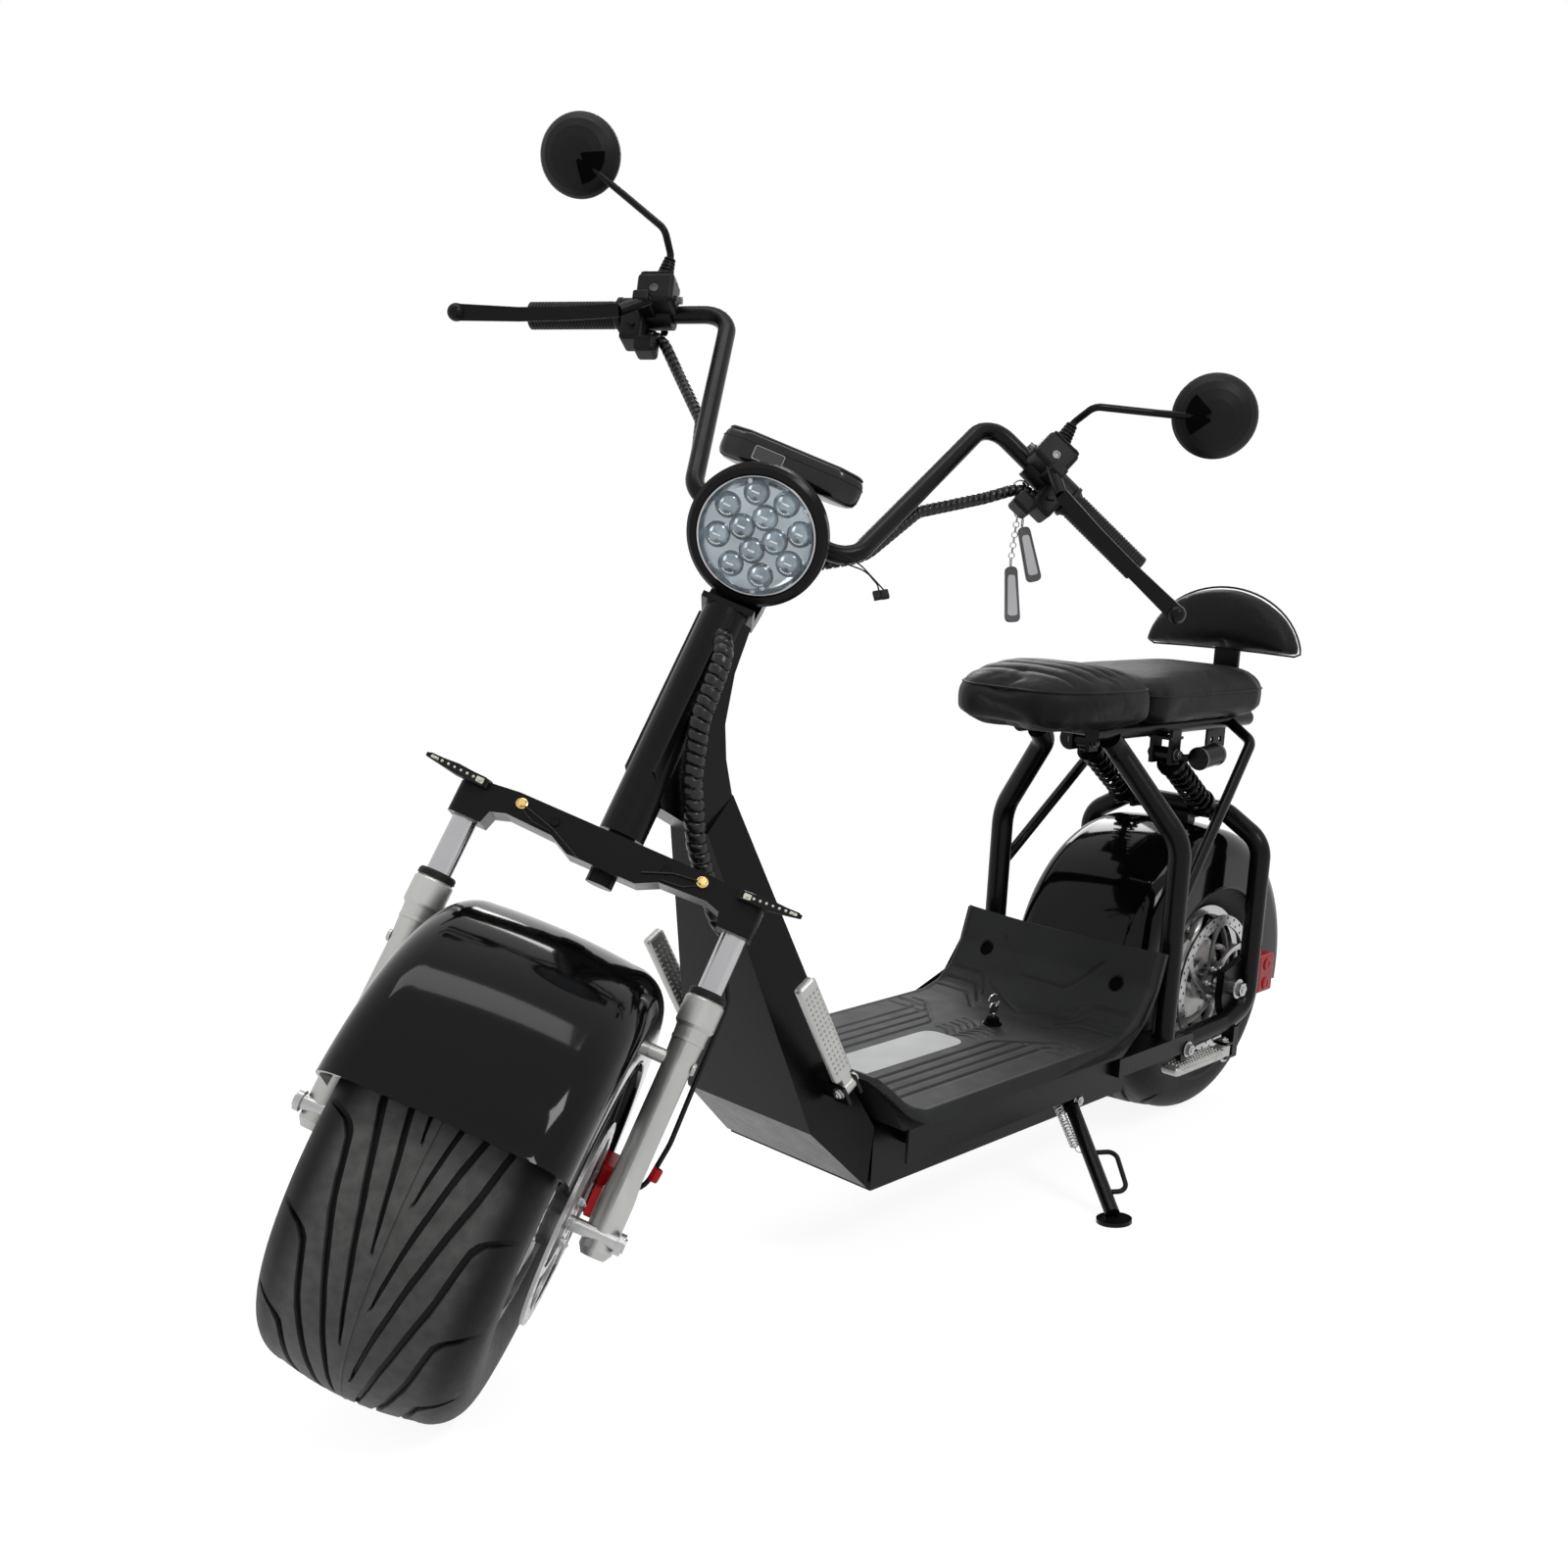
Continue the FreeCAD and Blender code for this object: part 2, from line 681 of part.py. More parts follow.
def mirror_frame():
    """The mirror faces the rider: its axis points back and slightly in, level with the ground."""
    level = Rotation(Y, s.rake)
    return Placement(MIRROR, level * Rotation(Z, 0.0))


def mirror_heads():
    """Shallow round cups, their domes towards the front."""
    r = "mirror_radius"
    outline = [
        ("0", "0"), ("0", r), ("4", r), ("9", r + " - 3"), ("15", r + " - 9"), ("20", r + " - 18"), ("24", r + " - 30"),
        ("mirror_depth", r + " - 41"), ("mirror_depth", "0"),
    ]
    cup = turned_body("mirror_cup", "XY_Plane", "H_Axis", outline)
    cup.Placement = mirror_frame()
    return pair("mirror_heads", cup)


def mirror_arm():
    """Bent stem, with the rubber boot that covers its thread."""
    rod = tube(MIRROR_STEM, 4.5, 14.0)
    boot = cone(10.0, 7.0, MIRROR_STEM[0] - Vector(1, 1, 6), MIRROR_STEM[0] + (MIRROR_STEM[1] - MIRROR_STEM[0]) * 0.72)
    return fused([rod, boot])


def headlight_place():
    return Placement(Vector(s.headlight_ahead, 0, LAMP_UP), Rotation(Y, s.rake + s.headlight_tilt))


def headlight_shell():
    """Round lamp bucket with a rolled rim, open at the front for its lens."""
    r, back, floor = "headlight_radius", "- headlight_depth", "- 10"
    outline = [
        (back, "0"), (back, r + " - 35"), ("- 20", r + " - 8"), ("- 12", r), ("0", r), ("4", r + " - 4"), ("4", r + " - 11"),
        ("0", r + " - lamp_rim"), (floor, r + " - lamp_rim"), (floor, "0"),
    ]
    return turned_body("headlight_shell", "XY_Plane", "H_Axis", outline)


def headlight_lens():
    r = "headlight_radius - lamp_rim - lens_gap"
    outline = [
        ("lens_gap - 10", "0"), ("lens_gap - 10", r), ("- 1", r), ("2", r + " - 5"), ("4", r + " - 18"), ("5.5", r + " - 36"),
        ("6", "0"),
    ]
    return turned_body("headlight_lens", "XY_Plane", "H_Axis", outline)


def dash():
    """Wide instrument housing above the headlight, its ends cut back."""
    half, wide = 84.0, 24.0
    outline = [(-wide, -half + 22), (-6, -half), (12, -half + 4), (wide, -half + 26), (wide, half - 26), (12, half - 4), (-6, half), (-wide, half - 22)]
    points = [Vector(x, y, 0) for x, y in outline]
    body = prism(points, Vector(0, 0, 34))
    body = rounded(body, 5.0, lambda e: abs(e.BoundBox.ZMax - e.BoundBox.ZMin) < 1e-3)
    body.Placement = Placement(over_lamp(-12, 0, 77), Rotation(Y, s.rake * 0.45))
    return body


def fender_shell(r, half, start, end):
    """A fender: wide flat crown, round shoulders and short side skirts, swept about the axle."""
    wall, low = s.fender_wall, r - s.fender_shoulder - s.fender_skirt

    def half_section(grow):
        rr, hh, cc = r - grow, half - grow, s.fender_shoulder - grow
        corner = [math.radians(a) for a in (0, 22.5, 45, 67.5, 90)]
        bend = [(rr - cc + cc * math.sin(a), hh - cc + cc * math.cos(a)) for a in corner]
        return [(low, hh)] + bend + [(rr + 3, (hh - cc) / 2), (rr + 4, 0)]

    outer, inner = half_section(0.0), half_section(wall)
    profile = outer + [(p, -y) for p, y in reversed(outer[:-1])] + [(p, -y) for p, y in inner] + list(reversed(inner[:-1]))
    return spun(profile, start, end - start)


def front_caliper():
    """Front caliper behind the left leg, on the plate that is bolted to the leg's lug."""
    block = caliper_block()
    block.translate(Vector(-s.caliper_reach, 0, 0))
    block.rotate(Vector(), Y, 20.0)
    plate = Part.makeBox(78, 8, 28, Vector(-92, CALIPER_PLATE - 8, 12))
    return fused([block, plate])


def bar_loom():
    """Wrapped cable loom from the switch housing down beside the bar into the neck."""
    points = [
        over_lamp(-196, 276, 262), over_lamp(-192, 240, 266), over_lamp(-185, 205, 232), over_lamp(-140, 140, 162),
        over_lamp(-98, 106, 67), over_lamp(-120, 30, 25), over_lamp(-84, 24, 21),
    ]
    return tube(points, s.loom_radius, 34.0)


def front_hose():
    """Brake hose from behind the crown down to the front caliper."""
    points = [Vector(-28, 100, 352), Vector(-66, 108, 338), Vector(-88, 146, 240), Vector(-86, 150, 112), Vector(-104, 127, 56)]
    return tube(points, s.hose_radius, 40.0)


def signal():
    """Slim leaf-shaped turn signal that sweeps out from the crown's end."""
    inner, tip = Vector(12, 140, 359), Vector(29, 208, 361)
    sections = []
    for share, half_x, half_z in ((0.0, 7.0, 4.5), (0.5, 6.0, 5.5), (1.0, 2.0, 2.0)):
        c = inner + (tip - inner) * share
        corners = [c + Vector(half_x * a, 0, half_z * b) for a, b in ((1, 1), (-1, 1), (-1, -1), (1, -1))]
        sections.append(Part.makePolygon(corners + [corners[0]]))
    return Part.makeLoft(sections, True, True)


def front_axle():
    reach = "front_axle_half - leg_half - slider_lug_radius - 2.5"
    near, far = LEG + s.slider_lug_radius + 0.5, s.front_axle_half - 2
    axle = bound("Cylinder", "front_shaft", at(0, -s.front_axle_half, 0, ALONG_Y), Radius="axle_radius", Height="front_axle_half + front_axle_half")
    nuts = [bound("Cylinder", "front_nut_%d" % k, at(0, y, 0, ALONG_Y), Radius="11", Height=reach) for k, y in enumerate((near, -far))]
    return joined("front_axle", [axle] + nuts)


def add_fork():
    tubes = bound("Cylinder", "stanchion", at(LEG_X, LEG, 150), Radius="stanchion_radius", Height="crown_top - 162")
    adopt(pair("stanchions", tubes), FORK, "steering")
    adopt(slider(), FORK, "steering")
    adopt(front_axle(), FORK, "steering")
    adopt(grips(), FORK, "steering")
    heads = adopt(mirror_heads(), FORK, "steering")
    lamp = headlight_shell()
    lamp.Placement = headlight_place()
    lens = headlight_lens()
    doc.recompute()
    head = heads.Links[0].Shape
    clamp = crown()
    keep("crown", clamp, FORK, "steering")
    instrument = dash()
    neck = largest(stem().cut(instrument).cut(lamp.Shape))
    keep("steering_stem", neck, FORK, "steering")
    adopt(lamp, FORK * headlight_place(), "steering")
    adopt(lens, FORK * headlight_place(), "steering")
    keep("front_fender", fender_shell(s.tyre_radius + s.fender_gap, s.fender_half, -172.0, -11.0), FORK, "steering")
    keep("signals", both(largest(signal().cut(clamp))), FORK, "steering")
    keep("handlebar", handlebar(), FORK, "steering")
    perch, switch = control()
    keep("bar_controls", Part.makeCompound([both(perch), both(switch)]), FORK, "steering")
    keep("brake_levers", both(largest(lever().cut(perch))), FORK, "steering")
    keep("mirror_arms", both(largest(mirror_arm().cut(perch).cut(head))), FORK, "steering")
    keep("dash", instrument, FORK, "steering")
    caliper = front_caliper()
    keep("front_caliper", caliper, FORK, "steering")
    loom = largest(bar_loom().cut(neck).cut(switch))
    hose = largest(front_hose().cut(clamp).cut(caliper))
    keep("steering_cables", Part.makeCompound([both(loom), hose]), FORK, "steering")


# Frame, in the vehicle frame


def on_steering_axis(u):
    return fork_to_vehicle.multVec(Vector(-s.fork_offset, 0, u))


def ring(points):
    """A closed outline, its right half mirrored from the left points (x, half width, z)."""
    left = [Vector(x, w, z) for x, w, z in points]
    right = [Vector(x, -w, z) for x, w, z in reversed(points)]
    return Part.makePolygon(left + right + [left[0]])


def frame_spine():
    """Head tube, neck plates and the tapered box that widens down to the tray."""
    low, high = on_steering_axis(s.head_tube_low), on_steering_axis(s.head_tube_high)
    head = cylinder(s.head_tube_radius, low, high)
    back = [(0, 748), (33, 764), (131, 600), (119, 560), (57, 526), (15, 560), (28, 606), (32, 645), (21, 700)]
    neck = side_prism([(NECK_X + x, z) for x, z in back], s.neck_half)
    top = ring([(NECK_X + 15, s.neck_half, 566), (NECK_X + 57, s.neck_half + 6, 528)])
    middle = ring([(DECK_FRONT + 22, s.box_half - 1, 220), (DECK_FRONT + 93, s.box_half + 2, 181)])
    low_ring = ring([(DECK_FRONT, s.tray_half, s.tray_top), (DECK_FRONT + 7, s.tray_half, s.tray_bottom + 6)])
    box = Part.makeLoft([top, middle], True, True)
    foot = Part.makeLoft([middle, low_ring], True, True)
    body = fused([head, neck, box, foot])
    bore = cylinder(s.head_tube_bore, on_steering_axis(s.head_tube_low - 60), on_steering_axis(s.head_tube_high + 60))
    return body.cut(bore)


def side_beam():
    """Left beam beside the tray, notched for the swing arm's eye between its two lugs."""
    low = s.beam_bottom
    beam = bound("Box", "beam", at(140, s.tray_half + 1, low), Length="190", Width="48", Height="tray_top - beam_bottom")
    tongue = bound("Box", "beam_tongue", at(240, s.tray_half - 1, low), Length="90", Width="3", Height="tray_top - beam_bottom")
    notch = bound("Box", "beam_notch", at(125, PIVOT_Y - 16, low - 10), Length="56", Width="32", Height="60")
    lugs = [
        bound("Box", "pivot_lug_%d" % k, at(PIVOT_X - 15, PIVOT_Y + off - 4, PIVOT_Z - 15), Length="30", Width="8", Height="34")
        for k, off in enumerate((-20, 20))
    ]
    hole = bound("Cylinder", "pivot_bore", at(PIVOT_X, 100, PIVOT_Z, ALONG_Y), Radius="pivot_radius", Height="80")
    return pair("side_beams", without("beam_left", joined("beam_welded", [without("beam_cut", beam, notch), tongue] + lugs), hole))


def deck_tray():
    """Open steel tray for the battery, with its side beams and the folded floor plate over them."""
    low, half, wall = s.tray_bottom, s.tray_half, s.tray_wall
    run, across = "wheelbase - deck_setback - tray_back", "tray_half + tray_half"
    shell = bound("Box", "tray_shell", at(s.tray_back, -half, low), Length=run, Width=across, Height="tray_top - tray_bottom")
    hollow = bound(
        "Box", "tray_hollow", at(s.tray_back + wall, -half + wall, low + wall),
        Length=run + " - tray_wall - tray_wall", Width=across + " - tray_wall - tray_wall", Height="tray_top - tray_bottom",
    )
    edge, top = s.mat_half - 4, s.tray_top
    length = "wheelbase - deck_setback - 18 - floor_back"
    plate = bound("Box", "floor_plate", at(s.floor_back, -edge, top), Length=length, Width="mat_half + mat_half - 8", Height="4")
    folds = [
        bound("Box", "floor_fold_%d" % k, at(s.floor_back, y, top - 38), Length=length, Width="4", Height="40")
        for k, y in enumerate((edge - 4, -edge))
    ]
    ribs = []
    for k in range(6):
        y = s.tray_half if k % 2 else -edge + 3
        place = at(s.floor_back + 28 + 180 * (k // 2), y, top - 30)
        ribs.append(bound("Box", "floor_rib_%d" % k, place, Length="10", Width="mat_half - tray_half - 7", Height="30"))
    return joined("deck_tray", [without("tray_open", shell, hollow), side_beam(), plate] + folds + ribs)


PIVOT_X, PIVOT_Y, PIVOT_Z = 152.0, 143.0, 150.0


def battery():
    wall, gap = s.tray_wall, 6.0
    return bound(
        "Box", "battery",
        Length="wheelbase - deck_setback - tray_back - tray_wall - tray_wall - 52",
        Width="tray_half + tray_half - tray_wall - tray_wall - 12",
        Height="tray_top - tray_bottom - tray_wall - 8",
    ), at(s.tray_back + wall + gap, gap + wall - s.tray_half, s.tray_bottom + wall)


def footboard_mat():
    """Ribbed rubber mat: flat floor, a lip at the front, and a rear part curved up to the seat tubes."""
    top, base, half = s.mat_top, s.tray_top + 4, s.mat_half
    front = DECK_FRONT
    upper = [(front + 3, 232), (front - 18, 206), (front - 42, top), (352, top), (316, 204), (288, 224), (266, 258), (252, 304)]
    lower = [(247, 303), (260, 254), (280, 216), (304, 196), (330, base), (front - 10, base), (front - 2, 196), (front + 9, 228)]
    mat = side_prism(upper + lower, half + 10)
    corner = cylinder(s.mat_corner, Vector(0, 0, 100), Vector(0, 0, 400))
    for side in (1, -1):
        inset = front + 10 - s.mat_corner
        block = Part.makeBox(s.mat_corner, s.mat_corner, 300, Vector(inset, side * (half + 10) - (s.mat_corner if side > 0 else 0), 100))
        post = corner.copy()
        post.translate(Vector(inset, side * (half + 10 - s.mat_corner), 0))
        mat = mat.cut(block.cut(post))
    return mat


def seat_frame():
    """Bent seat tubes, the rails they carry, the rear struts and the cross bars, welded together."""
    r, rail = s.seat_tube_radius, s.rail_radius
    half = s.seat_tube_half
    main = tube([Vector(196, half, s.tray_top), Vector(196, half, 452), Vector(232, 62, 572), Vector(254, 60, 590)], r, 70.0)
    beam = tube([Vector(300, 60, SEAT_RAIL_Z), Vector(-130, 60, SEAT_RAIL_Z)], rail, 20.0)
    strut = tube([Vector(186, half + 2, 366), Vector(-42, 118, 575), Vector(-70, 60, SEAT_RAIL_Z)], s.strut_radius, 26.0)
    bars = [cylinder(rail - 3, Vector(x, -60, SEAT_RAIL_Z), Vector(x, 60, SEAT_RAIL_Z)) for x in (262, 120, -130)]
    tabs = [Part.makeBox(24, 6, 50, Vector(SHOCK_TOP.x - 11, y - 3, SHOCK_TOP.z - 14)) for y in (SHOCK_TOP.y - 15.3, SHOCK_TOP.y + 15.3)]
    shelf = Part.makeBox(34, 36.6, 4, Vector(SHOCK_TOP.x - 17, SHOCK_TOP.y - 18.3, SHOCK_TOP.z + 22))
    hanger = Part.makeBox(52, 4, 34, Vector(-64, 58, SEAT_RAIL_Z - 40))
    for x in (-26, -50):
        hanger = hanger.cut(cylinder(4.5, Vector(x, 50, SEAT_RAIL_Z - 28), Vector(x, 70, SEAT_RAIL_Z - 28)))
    left = [main, beam, strut, shelf, hanger] + tabs
    return fused(left + [mirrored(x) for x in left] + bars + [backrest_bracket()])


SEAT_RAIL_Z = 600.0
BACK_X, BACK_DEEP = -158.0, 46.0
SHOCK_TOP = Vector(120, 69, 562)
SHOCK_BOTTOM = Vector(-16, 69, AXLE + 256)


def pad(outline, bottom, top, bulge):
    """Seat cushion in outline (x, half width) from nose to tail, with a rounded top edge."""
    face = Part.Face(ring([(x, w, bottom) for x, w in outline]))
    body = face.extrude(Vector(0, 0, top - bottom))
    body = rounded(body, 30.0, lambda e: abs(e.BoundBox.ZMax - e.BoundBox.ZMin - (top - bottom)) < 1e-3)
    return rounded(body, bulge, lambda e: e.BoundBox.ZMin > top - 1e-3)


def backrest():
    """Half-moon cushion, flat at the bottom and arched on top."""
    low, half, rise = 700.0, 132.0, 96.0
    edges = [
        Part.LineSegment(Vector(BACK_X, -half + 22, low), Vector(BACK_X, half - 22, low)).toShape(),
        Part.Arc(Vector(BACK_X, half - 22, low), Vector(BACK_X, half, low + 20), Vector(BACK_X, half - 16, low + 44)).toShape(),
        Part.Arc(Vector(BACK_X, half - 16, low + 44), Vector(BACK_X, 0, low + rise), Vector(BACK_X, -half + 16, low + 44)).toShape(),
        Part.Arc(Vector(BACK_X, -half + 16, low + 44), Vector(BACK_X, -half, low + 20), Vector(BACK_X, -half + 22, low)).toShape(),
    ]
    body = Part.Face(Part.Wire(edges)).extrude(Vector(BACK_DEEP, 0, 0))
    return rounded(body, 12.0, lambda e: e.BoundBox.XMin > BACK_X + BACK_DEEP - 1e-3)


def backrest_bracket():
    """Flat steel bar that rises behind the rear seat to the backrest."""
    low, wall = SEAT_RAIL_Z + 5, 6.0
    outline = [
        (-100, low), (BACK_X - wall, low), (BACK_X - wall, 770), (BACK_X, 770), (BACK_X, low + wall), (-100, low + wall),
    ]
    return side_prism(outline, 21.0)


def swingarm():
    """One side of the swing arm: a lower tube that bends up into a hoop over the wheel."""
    r = s.hoop_radius
    path = [
        Vector(PIVOT_X, PIVOT_Y, PIVOT_Z), Vector(20, 148, AXLE - 52), Vector(-44, 150, AXLE - 32), Vector(-44, 150, AXLE + 216),
        Vector(-44, 86, AXLE + 254), Vector(-44, -20, AXLE + 254),
    ]
    arm = tube(path, r, 42.0)
    eye = cylinder(17.0, Vector(PIVOT_X, PIVOT_Y - 15.5, PIVOT_Z), Vector(PIVOT_X, PIVOT_Y + 15.5, PIVOT_Z))
    corners = [(-44, -38), (8, -58), (24, -15), (22, 26), (-44, 42)]
    plate = prism([Vector(x, 134, AXLE + z) for x, z in corners], Vector(0, 12, 0))
    lugs = [Part.makeBox(40, 6, 26, Vector(SHOCK_BOTTOM.x - 28, y - 3, SHOCK_BOTTOM.z - 13)) for y in (SHOCK_BOTTOM.y - 15.3, SHOCK_BOTTOM.y + 15.3)]
    body = fused([arm, eye, plate] + lugs)
    body = body.cut(cylinder(s.pivot_radius, Vector(PIVOT_X, 100, PIVOT_Z), Vector(PIVOT_X, 180, PIVOT_Z)))
    return body.cut(cylinder(s.axle_radius, Vector(0, 120, s.rear_axle_height), Vector(0, 170, s.rear_axle_height)))


def shock():
    """Coil damper between the seat rail and the hoop, with its piggyback reservoir."""
    top, low = SHOCK_TOP, SHOCK_BOTTOM
    way = (low - top).normalize()
    body = cylinder(s.shock_radius, top + way * 5, top + way * 92)
    rod = cylinder(6.0, top + way * 60, low - way * 3)
    eyes = [cylinder(10.0, p - Vector(0, 12.3, 0), p + Vector(0, 12.3, 0)) for p in (top, low)]
    caps = [cylinder(s.spring_radius + 2, top + way * 22, top + way * 30), cylinder(s.spring_radius + 2, low - way * 26, low - way * 18)]
    can = cylinder(s.reservoir_radius, top + Vector(-22, 42, -4), top + Vector(-74, 42, 0))
    bridge = cylinder(5.5, top + way * 15, top + Vector(-40, 42, -3))
    whole = body.multiFuse([rod] + eyes + caps + [can, bridge])
    return whole


def shock_spring():
    """Coil spring: a square wire wound on the damper, one ruled facet per step of each turn."""
    top, low = SHOCK_TOP, SHOCK_BOTTOM
    way = (low - top).normalize()
    start, end = top + way * 31.5, low - way * 27.5
    wire, middle = s.spring_wire, s.spring_radius - s.spring_wire
    rise = (end - start).Length - 2 * wire
    steps = int(s.spring_turns * SPRING_STEPS)
    corners = ((wire, 0), (0, wire), (-wire, 0), (0, -wire))
    sections = []
    for k in range(steps + 1):
        a = 2 * math.pi * k / SPRING_STEPS
        high = wire + rise * k / steps
        points = [Vector((middle + r) * math.cos(a), (middle + r) * math.sin(a), high + z) for r, z in corners]
        sections.append(Part.makePolygon(points + [points[0]]))
    return placed(Part.makeLoft(sections, True, True), Placement(start, Rotation(Z, way)))


SPRING_STEPS = 10


def rear_caliper():
    body = caliper_block()
    body.translate(Vector(-s.caliper_reach, 0, s.rear_axle_height))
    plate = Part.makeBox(70, 8, 26, Vector(-94, 126, s.rear_axle_height - 14))
    return fused([body, plate])


def caliper_block():
    """Two-piston caliper: a block cut by the slot that the disc runs in."""
    low = s.disc_offset - 9
    block = Part.makeBox(48, 34, 60, Vector(-24, low, -30))
    block = rounded(block, 5.0, lambda e: True)
    slot = cylinder(s.disc_radius + 4, Vector(s.caliper_reach, s.disc_offset - 3.5, 0), Vector(s.caliper_reach, s.disc_offset + 3.5, 0))
    return block.cut(slot)


def axes(origin, along, pin):
    """The placement whose X runs along a folded peg and whose Z runs along its hinge pin."""
    along = Vector(along).normalize()
    pin = Vector(pin).normalize()
    side = pin.cross(along)
    grid = Matrix(
        along.x, side.x, pin.x, origin.x, along.y, side.y, pin.y, origin.y, along.z, side.z, pin.z, origin.z, 0, 0, 0, 1
    )
    return Placement(grid)


FRONT_PEG = axes(Vector(DECK_FRONT + 62, 124, 239), (78, 0, 131), (-131, 0, 78))
REAR_PEG = axes(Vector(26, 158, AXLE - 89), (1, 0, 0), (0, 0, 1))


def peg(side_half, pin_half):
    """Folding foot peg drawn along +X: an eye on its hinge pin and a ribbed grip with a raised end."""
    eye = cylinder(9.0, Vector(0, 0, -8), Vector(0, 0, 8))
    bar = Part.makeBox(s.peg_length, 2 * side_half, 2 * pin_half, Vector(14, -side_half, -pin_half))
    bar = rounded(bar, 5.0, lambda e: True)
    neck = Part.makeBox(22, 13, 14, Vector(0, -6.5, -7))
    return fused([eye, neck, bar]).cut(cylinder(s.peg_pin + 0.05, Vector(0, 0, -20), Vector(0, 0, 20)))


def peg_bracket(root):
    """Clevis for a peg, with its pin. The root is the box (low, high) that reaches to what carries it."""
    pin = cylinder(s.peg_pin, Vector(0, 0, -15), Vector(0, 0, 15))
    cheeks = [Part.makeBox(26, 23, 4, Vector(-18, -14, z)) for z in (8.4, -12.4)]
    low, high = root
    block = Part.makeBox(high.x - low.x, high.y - low.y, high.z - low.z, low)
    return fused([pin, block] + cheeks)


def placed(shape, placement):
    """A copy of the shape moved by the placement."""
    copy = shape.copy()
    copy.Placement = placement * shape.Placement
    return copy


def frame_loom():
    """Thick wrapped loom from the neck down beside the head tube into the front of the box."""
    x = NECK_X
    points = [
        Vector(x + 34, 14, 742), Vector(x + 52, 38, 722), Vector(x + 86, 41, 655), Vector(x + 94, 41, 590), Vector(x + 82, 40, 520),
        Vector(x + 44, 40, 430), Vector(x + 6, 38, 400),
    ]
    return tube(points, s.frame_loom_radius, 60.0)


def tail_lamp():
    """Tail lamp on the back of the rear fender."""
    lamp = Part.makeBox(30, 2 * s.tail_lamp_half, 44, Vector(-s.rear_tyre_radius - s.rear_fender_gap - 24, -s.tail_lamp_half, -22))
    lamp = rounded(lamp, 6.0, lambda e: e.BoundBox.XMax < -s.rear_tyre_radius - s.rear_fender_gap - 20)
    lamp.rotate(Vector(), Y, 25.0)
    lamp.translate(Vector(FENDER_SHIFT))
    return lamp


FENDER_SHIFT = Vector(-8, 0, -2)


def stand_leg():
    """Side stand: a pivot eye, a tapered leg and a round foot that lies flat on the floor."""
    pivot, foot = STAND_PIVOT, STAND_FOOT
    way = (foot - pivot).normalize()
    eye = cylinder(13.0, pivot - STAND_AXIS * 10, pivot + STAND_AXIS * 10)
    leg = cylinder(s.stand_radius, pivot, foot - way * 6)
    down = FLOOR_IN_VEHICLE.Rotation.multVec(Vector(0, 0, -1))
    disc = cylinder(s.stand_foot_radius, STAND_TOUCH, STAND_TOUCH - down * s.stand_foot_wall)
    out = Vector(-0.7, 0.7, 0.1)
    high, low = pivot + (foot - pivot) * 0.48, pivot + (foot - pivot) * 0.8
    tang = tube([high, high + out * 34, low + out * 30, low], s.tang_radius, 12.0)
    body = fused([eye, leg, disc, tang])
    return body.cut(cylinder(5.0, pivot - STAND_AXIS * 30, pivot + STAND_AXIS * 30))


STAND_PIVOT = Vector(405, 138, 128)
STAND_TOUCH = FLOOR_IN_VEHICLE.multVec(Vector(STAND.multVec(Vector(495, 277, 28)).x, STAND.multVec(Vector(495, 277, 28)).y, 0))
STAND_FOOT = STAND_TOUCH + FLOOR_IN_VEHICLE.Rotation.multVec(Vector(0, 0, s.stand_foot_wall))
STAND_STOWED = Vector(-0.93, 0.33, -0.16).normalize()
STAND_DOWN = (STAND_FOOT - STAND_PIVOT).normalize()
STAND_AXIS = STAND_DOWN.cross(STAND_STOWED).normalize()
STAND_SWEEP = round(math.degrees(STAND_DOWN.getAngle(STAND_STOWED)), 1)


def stand_bracket():
    """Forked lug under the deck, with the bolt that the stand turns on."""
    bolt = cylinder(4.9, STAND_PIVOT - STAND_AXIS * 17, STAND_PIVOT + STAND_AXIS * 17)
    cheeks = [cylinder(14.0, STAND_PIVOT + STAND_AXIS * a, STAND_PIVOT + STAND_AXIS * b) for a, b in ((10.5, 15), (-15, -10.5))]
    inward = Vector(-0.3, -1, 0)
    inward = (inward - STAND_AXIS * inward.dot(STAND_AXIS)).normalize()
    arms = []
    for a, b in ((10.5, 15), (-15, -10.5)):
        wide = STAND_AXIS.cross(inward).normalize() * 13
        corner = STAND_PIVOT + STAND_AXIS * a
        outline = [corner + wide, corner + wide + inward * 44, corner - wide + inward * 44, corner - wide]
        arms.append(prism(outline, STAND_AXIS * (b - a)))
    return fused([bolt] + cheeks + arms).common(Part.makeBox(200, 33, 81, Vector(300, s.tray_half, 60)))


def rear_axle():
    axle = bound("Cylinder", "rear_shaft", at(0, -164, AXLE, ALONG_Y), Radius="axle_radius", Height="328")
    rings = []
    for k, (y, radius) in enumerate(((146, "12"), (-158, "12"), (122, "11"), (-134, "11"))):
        rings.append(bound("Cylinder", "rear_ring_%d" % k, at(0, y, AXLE, ALONG_Y), Radius=radius, Height="12"))
    return joined("rear_axle", [axle] + rings)


